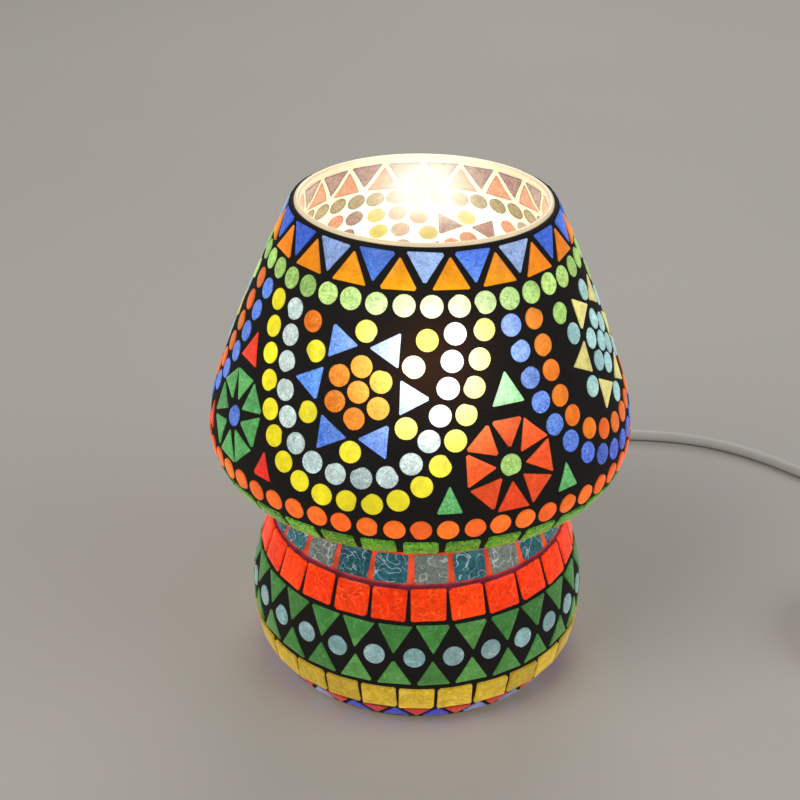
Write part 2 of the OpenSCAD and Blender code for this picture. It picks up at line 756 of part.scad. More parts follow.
module rounded_plan(long, wide, corner) {
    square([wide - 2 * corner, long], center = true);
    square([wide, long - 2 * corner], center = true);
    for (x = [-1, 1], y = [-1, 1])
        translate([x * (wide / 2 - corner), y * (long / 2 - corner)]) circle(r = corner, $fn = 32);
}
module rounded_block(low, high, inset) {
    translate([0, 0, low]) linear_extrude(height = high - low)
        rounded_plan(switch_len - 2 * inset, switch_w - 2 * inset, 7 - inset);
}
module switch_cord_way() {
    translate([0, -switch_len, switch_part]) rotate([-90, 0, 0]) cylinder(h = 2 * switch_len, r = cord_d / 2 + 0.05);
}
module switch_base() {
    color([0.94, 0.94, 0.92]) translate(switch_at) difference() {
        union() {
            difference() {
                rounded_block(0, switch_part, 0);
                rounded_block(switch_wall, switch_part + 1, switch_wall);
            }
            for (s = [-1, 1])
                translate([6.5, s * screw_y, 1]) cylinder(h = switch_part - 1, r = 2.8);
        }
        switch_cord_way();
        for (s = [-1, 1])
            translate([6.5, s * screw_y, -1]) {
                cylinder(h = 20, r = 1.45, $fn = 24);
                cylinder(h = 2.4, r = 2.3, $fn = 24);
            }
    }
}
module switch_cover() {
    color([0.95, 0.95, 0.93]) translate(switch_at) difference() {
        union() {
            difference() {
                rounded_block(switch_part, switch_top, 0);
                rounded_block(switch_part - 1, switch_top - switch_wall, switch_wall);
                translate([-6.4, -11, switch_part]) cube([12.8, 22, 20]);
            }
            for (s = [-1, 1]) {
                translate([6.5, s * screw_y, switch_part]) cylinder(h = switch_top - switch_part - 1, r = 2.8);
                translate([s * 7.8 - 1.2, -3, pivot_h - 2.4]) cube([2.4, 6, switch_top - pivot_h + 1]);
            }
        }
        switch_cord_way();
        for (s = [-1, 1])
            translate([6.5, s * screw_y, 0]) cylinder(h = switch_top - 2, r = 1.45, $fn = 24);
        translate([-9.1, 0, pivot_h]) rotate([0, 90, 0]) cylinder(h = 18.2, r = pivot_r + 0.05, $fn = 32);
    }
}
// Rocker, tipped to its ON side at rest
module switch_rocker() {
    color([0.93, 0.93, 0.9]) translate(switch_at + [0, 0, pivot_h]) rotate([rest_tilt, 0, 0]) {
        translate([-6, 0, 0]) rotate([90, 0, 90]) linear_extrude(height = 12) polygon([
            [-9.8, -1.5], [-5, -3], [5, -3], [9.8, -1.5], [9.8, 4.9], [7, 4.5], [0, 3.1], [-7, 4.5], [-9.8, 4.9],
        ]);
        translate([-8.7, 0, 0]) rotate([0, 90, 0]) cylinder(h = 17.4, r = pivot_r, $fn = 32);
    }
}
module switch_screws() {
    color([0.7, 0.7, 0.7]) translate(switch_at) for (s = [-1, 1])
        translate([6.5, s * screw_y, 0]) difference() {
            union() {
                translate([0, 0, 0.4]) cylinder(h = 1, r = 2.2, $fn = 24);
                translate([0, 0, 1]) cylinder(h = 10.6, r = 1.4, $fn = 24);
            }
            translate([-3, -0.3, 0]) cube([6, 0.6, 0.9]);
        }
}

// ---- Plug ----

plug_x = 220;
plug_back = -48;
plug_front = -82;
plug_t = 13.7;
pin_gap = 19;
pin_r = 2;
pin_len = 19;
pin_root = 9;

module plug_body() {
    color([0.92, 0.92, 0.9]) difference() {
        union() {
            translate([plug_x, 0, 0]) linear_extrude(height = plug_t) polygon([
                [-5.5, plug_back], [5.5, plug_back], [8, plug_back - 9], [14.5, plug_back - 17],
                [17, plug_back - 24], [17, plug_front + 2], [15.5, plug_front],
                [-15.5, plug_front], [-17, plug_front + 2], [-17, plug_back - 24],
                [-14.5, plug_back - 17], [-8, plug_back - 9],
            ]);
            translate([plug_x, plug_back, plug_t / 2]) rotate([-90, 0, 0])
                cylinder(h = -36 - plug_back, r1 = 4.6, r2 = cord_d / 2 + 0.5);
        }
        for (s = [-1, 1])
            translate([plug_x + s * pin_gap / 2, plug_front - 1, plug_t / 2]) rotate([-90, 0, 0])
                cylinder(h = pin_root + 1, r = pin_r + 0.02, $fn = 32);
    }
}
module plug_pins() {
    color([0.84, 0.74, 0.45]) for (s = [-1, 1])
        translate([plug_x + s * pin_gap / 2, plug_front - pin_len, plug_t / 2]) rotate([-90, 0, 0]) {
            translate([0, 0, 1]) cylinder(h = pin_len + pin_root - 1, r = pin_r, $fn = 32);
            cylinder(h = 1, r1 = pin_r - 0.7, r2 = pin_r, $fn = 32);
        }
}

glass_body();
grout_shade();
grout_base();
rim_blue_triangles();
rim_orange_triangles();
lime_discs();
yellow_garland_discs();
white_garland_discs();
blue_discs();
orange_garland_discs();
orange_star_discs();
blue_star_triangles();
yellow_star_discs();
teal_star_discs();
cream_star_triangles();
red_flower_petals();
green_flower_petals();
green_gap_triangles();
red_gap_triangles();
girdle_orange_discs();
underside_green_blocks();
neck_teal_blocks();
neck_clear_blocks();
shoulder_orange_squares();
belly_green_triangles();
belly_pale_discs();
skirt_amber_blocks();
foot_red_triangles();
foot_blue_triangles();
felt_foot();
base_plate();
cross_bar();
cord_grommet();
stem_tube();
stem_nuts();
stem_washer();
holder_cap();
holder_skirt();
holder_core();
holder_screw_shell();
holder_contact();
holder_terminal_screws();
inner_leads();
cord_inside();
bulb_cap();
bulb_tip();
bulb_glass();
bulb_stem();
bulb_filaments();
cord_run();
cord_link();
cord_coil();
cord_end();
switch_base();
switch_cover();
switch_rocker();
switch_screws();
plug_body();
plug_pins();
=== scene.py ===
"""Looks of the mosaic glass table lamp: lit glass tiles in dark cement, vessel, bulb, holder, cord.

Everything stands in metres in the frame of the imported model: the axis is +Z,
the front is -Y, and an azimuth turns from the front to the right.
"""

import logging
import math
import random
from bisect import bisect_left
from dataclasses import dataclass, field
from enum import Enum
from typing import Protocol

import bmesh
import bpy
from mathutils import Matrix, Vector, noise


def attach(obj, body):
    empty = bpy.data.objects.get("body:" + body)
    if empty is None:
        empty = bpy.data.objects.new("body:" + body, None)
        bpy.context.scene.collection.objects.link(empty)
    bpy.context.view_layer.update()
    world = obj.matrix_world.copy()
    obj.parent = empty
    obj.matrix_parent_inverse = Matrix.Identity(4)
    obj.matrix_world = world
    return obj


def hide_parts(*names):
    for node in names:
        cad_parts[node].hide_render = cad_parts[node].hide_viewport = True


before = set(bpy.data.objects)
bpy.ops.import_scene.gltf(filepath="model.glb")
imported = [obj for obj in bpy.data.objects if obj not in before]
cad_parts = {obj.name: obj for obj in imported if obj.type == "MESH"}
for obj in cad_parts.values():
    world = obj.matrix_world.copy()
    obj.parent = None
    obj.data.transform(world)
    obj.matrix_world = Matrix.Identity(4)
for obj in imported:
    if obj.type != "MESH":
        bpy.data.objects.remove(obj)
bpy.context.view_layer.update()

log = logging.getLogger("mosaic_lamp")
RGB = tuple[float, float, float]
Point = tuple[float, float, float]
Steps = tuple[int, int, int]
Section = tuple[tuple[float, float], ...]
Socket = bpy.types.NodeSocket
Input = float | RGB | Socket
MM = 0.001
ROOT = "root"
MERGE_WITHIN = 0.002 * MM
FLAT_WITHIN = math.radians(1)
ROUNDED_FROM = math.radians(30)


def shade_of(red: int, green: int, blue: int) -> RGB:
    """Turns a colour in display steps of 0 to 255 into linear light.

    Args:
        red, green, blue: The display steps.

    Returns:
        The linear colour.
    """
    shares = (c / 255 for c in (red, green, blue))
    return tuple(c / 12.92 if c <= 0.04045 else ((c + 0.055) / 1.055) ** 2.4 for c in shares)


def linked(name: str, data: bpy.types.ID) -> bpy.types.Object:
    """Puts new data into the scene.

    Args:
        name: The object's name.
        data: Its mesh, curve, light or camera.

    Returns:
        The object.
    """
    made = bpy.data.objects.new(name, data)
    bpy.context.scene.collection.objects.link(made)
    return made


# ---------------------------------------------------------------- node graphs


class Graph:
    """A material's node tree round one Principled shader, with short calls to add nodes."""

    def __init__(self, name: str) -> None:
        """Starts an opaque material.

        Args:
            name: The material's name.
        """
        self.material = bpy.data.materials.new(name)
        self.material.use_nodes = True
        self.tree = self.material.node_tree
        self.shader = self.tree.nodes["Principled BSDF"]
        self._place = None

    def node(self, kind: str, **settings: str | bool) -> bpy.types.Node:
        """Adds a node.

        Args:
            kind: Its type, without the leading "ShaderNode".
            settings: Its properties.

        Returns:
            The node.
        """
        made = self.tree.nodes.new("ShaderNode" + kind)
        for key, value in settings.items():
            setattr(made, key, value)
        return made

    def wire(self, value: Input, socket: Socket) -> None:
        """Links a socket to an input, or sets a constant on it.

        Args:
            value: A socket or a constant.
            socket: The input that takes it.
        """
        if isinstance(value, Socket):
            self.tree.links.new(value, socket)
        elif hasattr(value, "__len__") and len(value) == 3 and len(socket.default_value) == 4:
            socket.default_value = (*value, 1)
        else:
            socket.default_value = value

    def place(self) -> Socket:
        """Adds the Object coordinates once.

        Returns:
            The coordinates.
        """
        if self._place is None:
            self._place = self.node("TexCoord").outputs["Object"]
        return self._place

    def math(self, operation: str, *values: Input, clamp: bool = False) -> Socket:
        """Adds a Math node.

        Args:
            operation: Its operation.
            values: Its one to three inputs, sockets or numbers.
            clamp: Whether the result is held from 0 to 1.

        Returns:
            The result.
        """
        made = self.node("Math", operation=operation, use_clamp=clamp)
        for value, socket in zip(values, made.inputs):
            self.wire(value, socket)
        return made.outputs[0]

    def swing(self, value: Input, reach: float, level: float = 1.0) -> Socket:
        """Turns a noise about 0.5 into a factor.

        Args:
            value: The noise.
            reach: How far a whole step of the noise moves the factor.
            level: The factor at 0.5.

        Returns:
            The factor.
        """
        return self.math("MULTIPLY_ADD", self.math("SUBTRACT", value, 0.5), reach, level)

    def mix(self, share: Input, first: Input, second: Input) -> Socket:
        """Mixes two colours.

        Args:
            share: How much of the second, from 0 to 1.
            first, second: Colours, or sockets that give them.

        Returns:
            The mixed colour.
        """
        made = self.node("Mix", data_type="RGBA", clamp_factor=True)
        for value, at in ((share, 0), (first, 6), (second, 7)):
            self.wire(value, made.inputs[at])
        return made.outputs[2]

    def scaled(self, colour: Input, factor: Input) -> Socket:
        """Multiplies a colour by a number.

        Args:
            colour: The colour.
            factor: The number.

        Returns:
            The product.
        """
        made = self.node("VectorMath", operation="SCALE")
        self.wire(colour, made.inputs[0])
        self.wire(factor, made.inputs["Scale"])
        return made.outputs[0]

    def noise(self, scale: float, detail: float = 2, twist: float = 0,
              stretch: Point | None = None) -> Socket:
        """Adds a noise on the Object coordinates.

        Args:
            scale: Features per metre.
            detail: Octaves.
            twist: Distortion.
            stretch: Scale along each axis, or nothing.

        Returns:
            The noise, about 0.5.
        """
        made = self.node("TexNoise")
        where = self.place()
        if stretch:
            mapping = self.node("Mapping")
            self.wire(where, mapping.inputs["Vector"])
            mapping.inputs["Scale"].default_value = stretch
            where = mapping.outputs[0]
        self.wire(where, made.inputs["Vector"])
        for key, value in (("Scale", scale), ("Detail", detail), ("Distortion", twist)):
            made.inputs[key].default_value = value
        return made.outputs[0]

    def spread(self, value: Input, low: float, high: float, to_low: float = 0, to_high: float = 1) -> Socket:
        """Maps a range onto another, held at its ends.

        Args:
            value: What is mapped.
            low, high: The range it comes from.
            to_low, to_high: The range it goes to.

        Returns:
            The mapped value.
        """
        made = self.node("MapRange", clamp=True)
        for at, number in enumerate((value, low, high, to_low, to_high)):
            self.wire(number, made.inputs[at])
        return made.outputs[0]

    def bell(self, value: Input, width: float) -> Socket:
        """Returns exp(-(value / width) squared): 1 where value is 0, and fading on both sides."""
        ratio = self.math("DIVIDE", value, width)
        return self.math("EXPONENT", self.math("MULTIPLY", self.math("MULTIPLY", ratio, ratio), -1))

    def near(self, point: Point | Vector, width: float) -> Socket:
        """Fades a light away from a point.

        Args:
            point: The point.
            width: The bell's width.

        Returns:
            The share of light, 1 at the point.
        """
        made = self.node("VectorMath", operation="DISTANCE")
        self.wire(self.place(), made.inputs[0])
        made.inputs[1].default_value = point
        return self.bell(made.outputs["Value"], width)

    def height(self) -> Socket:
        """Splits the height off the coordinates.

        Returns:
            The height above the table.
        """
        made = self.node("SeparateXYZ")
        self.wire(self.place(), made.inputs[0])
        return made.outputs[2]

    def bump(self, relief: Input, strength: float, depth: float) -> None:
        """Gives the shader a bump.

        Args:
            relief: The height pattern.
            strength: Its share.
            depth: Its full height in metres.
        """
        made = self.node("Bump")
        made.inputs["Strength"].default_value = strength
        made.inputs["Distance"].default_value = depth
        self.wire(relief, made.inputs["Height"])
        self.wire(made.outputs[0], self.shader.inputs["Normal"])

    def finish(self, **inputs: Input) -> bpy.types.Material:
        """Sets the shader's inputs and returns the material.

        Args:
            inputs: Socket names with spaces as underscores, and their values.

        Returns:
            The material.
        """
        for key, value in inputs.items():
            self.wire(value, self.shader.inputs[key.replace("_", " ")])
        return self.material


# ------------------------------------------------------------------- finishes

# The fixed point on the front wall where a painted hot spot of the bulb's light sits, and the height of the
# painted bright band round the wall
PAINTED_HOT_SPOT = Vector((0.0035, -0.0603, 0.1475))
PAINTED_RING_HEIGHT = 0.1445
# What the third number of the attribute "tile" says on a tile's shoulder; it is 0 below and 1 above
SHOULDER_SHARE = 0.6


class Finish(Protocol):
    """Anything that can build its own material."""

    def material(self) -> bpy.types.Material:
        """Builds and returns the material."""


class Ripple(Enum):
    """How a sheet of glass was rolled."""

    # The noise whose middle the lines follow, and the lines' core and edge on it
    GRAINED = ((520, 2, 2.0), 0.0, 0.05)
    WAVY = ((125, 0.6, 2.2), 0.004, 0.026)


@dataclass(frozen=True)
class StainedGlass:
    """Rolled coloured glass with light behind it; painted light makes it paler round the bulb's height, on a
    patch of the front and at a painted hot spot, and painted shade dims each tile towards its edge.
    """

    name: str
    deep: RGB
    lit: RGB
    pale: RGB = (1.0, 0.96, 0.86)
    odd: RGB | None = None
    ripple: Ripple = Ripple.GRAINED
    grain: float = 0.3
    hot_spot_power: float = 0.8
    light_ring_width: float = 0.046
    front_light_width: float = 0.045
    hot_spot_width: float = 0.021
    body_share: float = 0.13
    tone_low: float = 0.82
    tone_reach: float = 0.3
    edge_shade_level: float = 0.72
    odd_from: float = 0.58
    odd_full: float = 0.72

    def material(self) -> bpy.types.Material:
        """Builds the glass from its colours.

        Returns:
            The material, which reads each tile's own tone from the attribute "tile".
        """
        g = Graph(self.name)
        attribute = g.node("Attribute", attribute_name="tile")
        tone = g.node("SeparateColor")
        g.wire(attribute.outputs["Color"], tone.inputs[0])
        bright, hue, rim = tone.outputs
        # painted light: a bright band at the bulb's height, a bright patch on the front, and a painted hot
        # spot that turns the colour pale
        level = g.math("SUBTRACT", g.height(), PAINTED_RING_HEIGHT)
        ring = g.bell(level, self.light_ring_width)
        front = g.near(PAINTED_HOT_SPOT, self.front_light_width)
        hot = g.math("MULTIPLY", g.near(PAINTED_HOT_SPOT, self.hot_spot_width), 1.25, clamp=True)
        share = g.math("ADD", g.math("MULTIPLY", ring, 0.5), g.math("MULTIPLY", front, 0.55))
        share = g.math("ADD", share, g.math("MULTIPLY_ADD", hue, 0.5, -0.2), clamp=True)
        colour = g.mix(share, self.deep, self.lit)
        if self.odd:
            colour = g.mix(g.spread(hue, self.odd_from, self.odd_full), colour, self.odd)
        colour = g.mix(hot, colour, self.pale)
        fine = g.noise(850, 3, 1.2)
        broad = g.noise(230, 2, 0.6)
        folds, start, end = self.ripple.value
        fold = g.math("ABSOLUTE", g.math("SUBTRACT", g.noise(*folds), 0.5))
        lines = g.spread(fold, start, end, 1, 0)
        streak = g.mix(0.5, colour, self.pale)
        colour = g.mix(g.math("MULTIPLY", lines, self.grain), colour, streak)
        relief = g.math("ADD", lines, g.math("MULTIPLY", fine, 0.7))
        bright_lines = g.math("MULTIPLY", lines, self.grain * 0.5)
        grain = g.swing(fine, self.grain * 5.5)
        light = g.math("MULTIPLY", g.math("ADD", grain, bright_lines), g.swing(broad, 0.8))
        light = g.math("MULTIPLY", light, g.math("MULTIPLY_ADD", bright, self.tone_reach, self.tone_low))
        # painted shade: each tile's light dimmed from its crown towards its edge
        light = g.math("MULTIPLY", light, g.spread(rim, 0.0, SHOULDER_SHARE, self.edge_shade_level, 1.0))
        light = g.math("ADD", light, g.math("MULTIPLY", hot, self.hot_spot_power))
        g.bump(relief, 0.35, 0.00025)
        return g.finish(
            Base_Color=g.scaled(colour, self.body_share), Roughness=0.17, Specular_IOR_Level=0.36,
            Emission_Color=g.scaled(colour, light), Emission_Strength=1.0,
        )


@dataclass(frozen=True)
class Cement:
    """Gritty black cement, with a painted orange glow round the wall's hot spot and a painted glowing band
    where lit glass stands close by.
    """

    name: str
    glow_low: float = -2 * MM
    glow_high: float = -1 * MM
    glow: RGB = (0.0, 0.0, 0.0)
    glow_below: RGB = (0.0, 0.0, 0.0)
    split: float = 59.6 * MM
    split_half: float = 0.6 * MM
    dark: RGB = (0.004, 0.0035, 0.003)
    sandy: RGB = (0.02, 0.017, 0.014)
    hot_spot_glow_tint: RGB = (0.16, 0.045, 0.008)

    def material(self) -> bpy.types.Material:
        """Builds the cement, with a painted glowing band between two heights and a painted glow round the hot
        spot.

        Returns:
            The material.
        """
        g = Graph(self.name)
        grit = g.noise(2600, 3)
        lumps = g.noise(420, 2)
        colour = g.mix(g.spread(grit, 0.35, 0.75), self.dark, self.sandy)
        height = g.height()
        # painted glow: a patchy band of light between glow_low and glow_high, glow above split and glow_below
        # under it
        middle, half = (self.glow_low + self.glow_high) / 2, (self.glow_high - self.glow_low) / 2
        away = g.math("ABSOLUTE", g.math("SUBTRACT", height, middle))
        band = g.spread(away, half * 0.8, half * 1.15, 1, 0)
        patchy = g.spread(g.noise(130, 1), 0.34, 0.6, 0.5, 1)
        # painted glow: the cement tinted orange round the painted hot spot
        warm = g.math("MULTIPLY", g.near(PAINTED_HOT_SPOT, 0.015), 0.22)
        step = g.spread(g.math("ADD", height, g.math("MULTIPLY", lumps, 0.0008)),
                        self.split - self.split_half, self.split + self.split_half)
        light = g.mix(g.math("MULTIPLY", band, patchy), (0, 0, 0), g.mix(step, self.glow_below, self.glow))
        light = g.mix(warm, light, self.hot_spot_glow_tint)
        relief = g.math("ADD", g.math("MULTIPLY", grit, 0.5), lumps)
        g.bump(relief, 0.5, 0.0004)
        return g.finish(
            Base_Color=colour, Roughness=0.72, Specular_IOR_Level=0.3,
            Emission_Color=light, Emission_Strength=1.0,
        )


@dataclass(frozen=True)
class LitVessel:
    """Clear glass over pale cement, bright with the bulb's light on the inside."""

    name: str = "vessel_glass"
    cream: RGB = (0.93, 0.72, 0.42)
    white: RGB = (1.0, 0.93, 0.74)
    # painted light: a bright band round the bulb's height and a bright spot on the back wall
    bright_height: float = 0.132
    bright_width: float = 0.05
    bright_back: Point = (0, 0.05, 0.155)
    back_width: float = 0.036

    def material(self) -> bpy.types.Material:
        """Builds the glass, brightest beside the bulb.

        Returns:
            The material.
        """
        g = Graph(self.name)
        near = g.bell(g.math("SUBTRACT", g.height(), self.bright_height), self.bright_width)
        back = g.near(self.bright_back, self.back_width)
        share = g.math("ADD", g.math("MULTIPLY", near, 0.6), g.math("MULTIPLY", back, 0.9), clamp=True)
        colour = g.mix(share, self.cream, self.white)
        cloud = g.swing(g.noise(240, 3, 0.5), 0.35)
        light = g.math("MULTIPLY", cloud, g.math("MULTIPLY_ADD", share, 0.75, 0.42))
        g.bump(g.noise(180, 2), 0.2, 0.0008)
        return g.finish(
            Base_Color=g.scaled(colour, 0.55), Roughness=0.14, Coat_Weight=0.4, Coat_Roughness=0.05,
            Emission_Color=g.scaled(colour, light), Emission_Strength=0.95,
        )


@dataclass(frozen=True)
class TilesThroughGlass:
    """The tiles' colours as the lit vessel's inside shows them, washed out to white by painted glare at a
    spot on the back wall and at and below the bulb's height.
    """

    name: str = "tiles_through_glass"
    spot: Point = (0.001, 0.045, 0.166)
    spot_width: float = 0.017
    glare_low: float = 0.118
    glare_high: float = 0.15
    white: RGB = (1.0, 0.97, 0.86)
    cream: RGB = (1.0, 0.86, 0.66)

    def material(self) -> bpy.types.Material:
        """Builds the finish from the attribute "tile".

        Returns:
            The material.
        """
        g = Graph(self.name)
        colour = g.node("Attribute", attribute_name="tile").outputs["Color"]
        # painted glare: white at a spot on the back wall, and a white band at and below the bulb's height
        # that fades out higher up
        back = g.math("MULTIPLY", g.near(self.spot, self.spot_width), 1.3, clamp=True)
        low = g.spread(g.height(), self.glare_low, self.glare_high, 0.6, 0.0)
        white = g.math("MAXIMUM", g.math("MULTIPLY", back, 0.97), low)
        colour = g.mix(white, colour, self.white)
        wisps = g.spread(g.noise(700, 3, 1.5), 0.36, 0.64)
        colour = g.mix(g.math("MULTIPLY", wisps, 0.34), colour, self.cream)
        cloud = g.swing(g.noise(300, 2), 0.8, 0.92)
        g.bump(wisps, 0.2, 0.0002)
        return g.finish(
            Base_Color=g.scaled(colour, 0.4), Roughness=0.14, Coat_Weight=0.4, Coat_Roughness=0.05,
            Emission_Color=g.scaled(colour, g.math("MULTIPLY_ADD", white, 0.6, cloud)),
            Emission_Strength=0.6,
        )


@dataclass(frozen=True)
class Moulded:
    """Moulded plastic or rubber: faint flow marks, fine orange peel and a few scuffs."""

    name: str
    colour: RGB
    roughness: float = 0.35
    peel: float = 0.15

    def material(self) -> bpy.types.Material:
        """Builds the plastic.

        Returns:
            The material.
        """
        g = Graph(self.name)
        flow = g.noise(60, 2, 0.4)
        dark = tuple(c * 0.88 for c in self.colour)
        colour = g.mix(g.spread(flow, 0.3, 0.7), dark, self.colour)
        scuff = g.spread(g.noise(420, 4, 0, (1, 4, 1)), 0.62, 0.72)
        rough = g.math("MULTIPLY_ADD", scuff, 0.2, self.roughness)
        g.bump(g.noise(1800, 2), self.peel, 0.00012)
        return g.finish(Base_Color=colour, Roughness=rough, Specular_IOR_Level=0.5)


@dataclass(frozen=True)
class Metal:
    """Turned, stamped or plated metal with hair marks and a little tarnish."""

    name: str
    colour: RGB
    tarnish: RGB
    roughness: float = 0.28

    def material(self) -> bpy.types.Material:
        """Builds the metal.

        Returns:
            The material.
        """
        g = Graph(self.name)
        marks = g.noise(900, 3, 0, (1, 1, 9))
        stain = g.spread(g.noise(150, 3), 0.5, 0.75)
        colour = g.mix(g.math("MULTIPLY", stain, 0.6), self.colour, self.tarnish)
        rough = g.math("MULTIPLY_ADD", marks, 0.25, self.roughness - 0.08)
        g.bump(marks, 0.12, 0.0001)
        return g.finish(Base_Color=colour, Metallic=1.0, Roughness=rough)


@dataclass(frozen=True)
class PressedFelt:
    """Dark felt: a matt nap with lighter stray fibres."""

    name: str = "pressed_felt"
    low: RGB = (0.008, 0.008, 0.009)
    high: RGB = (0.03, 0.03, 0.033)
    fibre: RGB = (0.09, 0.09, 0.095)

    def material(self) -> bpy.types.Material:
        """Builds the felt.

        Returns:
            The material.
        """
        g = Graph(self.name)
        nap = g.noise(2200, 4, 1.5)
        fibres = g.spread(g.noise(1300, 3, 3.0), 0.56, 0.66)
        colour = g.mix(nap, self.low, self.high)
        colour = g.mix(g.math("MULTIPLY", fibres, 0.3), colour, self.fibre)
        g.bump(g.math("ADD", nap, fibres), 0.7, 0.0005)
        return g.finish(Base_Color=colour, Roughness=0.95, Specular_IOR_Level=0.15, Sheen_Weight=0.3)


@dataclass(frozen=True)
class BulbGlow:
    """The lit bulb's envelope: white-warm globe, darker at its neck."""

    name: str = "bulb_glow"
    heart: Point = (0, 0, 0.114)
    width: float = 0.026
    amber: RGB = (1.0, 0.52, 0.18)
    white: RGB = (1.0, 0.86, 0.6)
    opal: RGB = (0.9, 0.87, 0.8)

    def material(self) -> bpy.types.Material:
        """Builds the lit envelope.

        Returns:
            The material.
        """
        g = Graph(self.name)
        share = g.near(self.heart, self.width)
        colour = g.mix(share, self.amber, self.white)
        light = g.math("MULTIPLY_ADD", share, 2.6, 0.35)
        light = g.math("MULTIPLY", light, g.spread(g.noise(90, 2), 0.2, 0.8, 0.9, 1.1))
        return g.finish(
            Base_Color=self.opal, Roughness=0.12, Coat_Weight=0.6, Coat_Roughness=0.04,
            Emission_Color=g.scaled(colour, light), Emission_Strength=1.3,
        )


# ------------------------------------------------------------ mesh helpers


def new_piece(name: str, bm: bmesh.types.BMesh, material: bpy.types.Material,
              replaced: tuple[str, ...] = (), body: str = ROOT, smooth: bool = True) -> bpy.types.Object:
    """Turns a bmesh into a piece of the lamp, and frees it.

    Args:
        name: The piece's name.
        bm: Its mesh.
        material: Its finish.
        replaced: The CAD nodes it stands for.
        body: The body it rides on.
        smooth: Whether its faces are shaded smooth.

    Returns:
        The piece's object.
    """
    mesh = bpy.data.meshes.new(name)
    bm.to_mesh(mesh)
    bm.free()
    mesh.materials.append(material)
    for polygon in mesh.polygons:
        polygon.use_smooth = smooth
    return settle(linked(name, mesh), replaced, body)


def settle(piece: bpy.types.Object, replaced: tuple[str, ...] = (),
           body: str = ROOT) -> bpy.types.Object:
    """Puts a piece on its body and hides the nodes it stands for.

    Args:
        piece: The piece.
        replaced: The CAD nodes it stands for.
        body: The body it rides on.

    Returns:
        The piece.
    """
    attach(piece, body)
    if replaced:
        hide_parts(*replaced)
    log.info("%s on %s stands for %s", piece.name, body, ", ".join(replaced) or "nothing")
    return piece


def merged_copy(node: str) -> bmesh.types.BMesh:
    """Copies a CAD node's mesh, with its loose triangles joined into whole faces.

    Args:
        node: The node.

    Returns:
        The copy.
    """
    bm = bmesh.new()
    bm.from_mesh(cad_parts[node].data)
    bmesh.ops.remove_doubles(bm, verts=bm.verts, dist=MERGE_WITHIN)
    bmesh.ops.dissolve_limit(bm, angle_limit=FLAT_WITHIN, verts=bm.verts, edges=bm.edges)
    return bm


def dress(node: str, material: bpy.types.Material) -> None:
    """Gives a CAD node that keeps its shape a finish.

    Args:
        node: The node.
        material: The finish.
    """
    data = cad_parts[node].data
    data.materials.clear()
    data.materials.append(material)
    log.info("%s keeps its shape and is dressed in %s", node, material.name)


def softened(node: str, name: str, material: bpy.types.Material, width: float,
             body: str = ROOT, segments: int = 2) -> bpy.types.Object:
    """Rebuilds a CAD node as a piece with rounded edges.

    Args:
        node: The node.
        name: The piece's name.
        material: Its finish.
        width: The rounding's width.
        body: The body it rides on.
        segments: Steps across the rounding.

    Returns:
        The piece.
    """
    piece = new_piece(name, merged_copy(node), material, (node,), body, smooth=False)
    rounding = piece.modifiers.new("rounding", "BEVEL")
    rounding.width = width
    rounding.segments = segments
    rounding.limit_method = "ANGLE"
    rounding.angle_limit = ROUNDED_FROM
    return piece


def spun(profile: list[tuple[float, float]], steps: int) -> bmesh.types.BMesh:
    """Spins a closed section about the axis.

    Args:
        profile: (radius, height) of each point.
        steps: Faces round the axis.

    Returns:
        The turned shape, with its faces outward.
    """
    bm = bmesh.new()
    points = [bm.verts.new((radius, 0, height)) for radius, height in profile]
    edges = [bm.edges.new(pair) for pair in zip(points, points[1:] + points[:1])]
    bmesh.ops.spin(bm, geom=points + edges, cent=(0, 0, 0), axis=(0, 0, 1), angle=math.tau,
                   steps=steps, use_merge=True)
    bmesh.ops.remove_doubles(bm, verts=bm.verts, dist=1e-6)
    bmesh.ops.recalc_face_normals(bm, faces=bm.faces)
    return bm


# -------------------------------------------------------------------- the wall


@dataclass(frozen=True)
class Wall:
    """The vessel's finished surface, from the rim to the foot, and the layers under it, in millimetres."""

    keys: Section = (
        (45.6, 180), (57.9, 153), (69.2, 124.8), (75.6, 103), (75.9, 94.5), (70.8, 83.5), (58, 75.5),
        (50, 70.5), (52.3, 65), (57.7, 50.3), (62, 35.5), (62.3, 24), (60.6, 12), (54.6, 1.5),
    )
    steps: int = 8
    inner_depth: float = 5.25
    lip: tuple[float, float] = (43, 179.8)
    below_lip: float = 3

    def outline(self) -> list[Vector]:
        """Follows the smooth section.

        Returns:
            Points (radius, height) in millimetres, from the rim down.
        """
        keys = [Vector(key) for key in self.keys]
        spans = [(b - a).length for a, b in zip(keys, keys[1:])]
        ways = [(b - a).normalized() for a, b in zip(keys, keys[1:])]
        tangents = [ways[0]]
        for i in range(1, len(keys) - 1):
            tangents.append((ways[i - 1] * spans[i] + ways[i] * spans[i - 1]) / (spans[i - 1] + spans[i]))
        tangents.append(ways[-1])
        points = []
        for i, span in enumerate(spans):
            for j in range(self.steps):
                t = j / self.steps
                points.append(
                    (2 * t ** 3 - 3 * t ** 2 + 1) * keys[i] + (t ** 3 - 2 * t ** 2 + t) * span * tangents[i]
                    + (3 * t ** 2 - 2 * t ** 3) * keys[i + 1] + (t ** 3 - t ** 2) * span * tangents[i + 1]
                )
        return points + [keys[-1]]

    def layer(self, depth: float) -> list[tuple[float, float]]:
        """Returns the section at a depth below the surface.

        Args:
            depth: In millimetres.

        Returns:
            Points (radius, height) in metres, from the rim down.
        """
        line = self.outline()
        points = []
        for i, point in enumerate(line):
            along = line[min(i + 1, len(line) - 1)] - line[max(i - 1, 0)]
            outward = Vector((-along.y, along.x)).normalized()
            points.append(tuple((point - outward * depth) * MM))
        return points


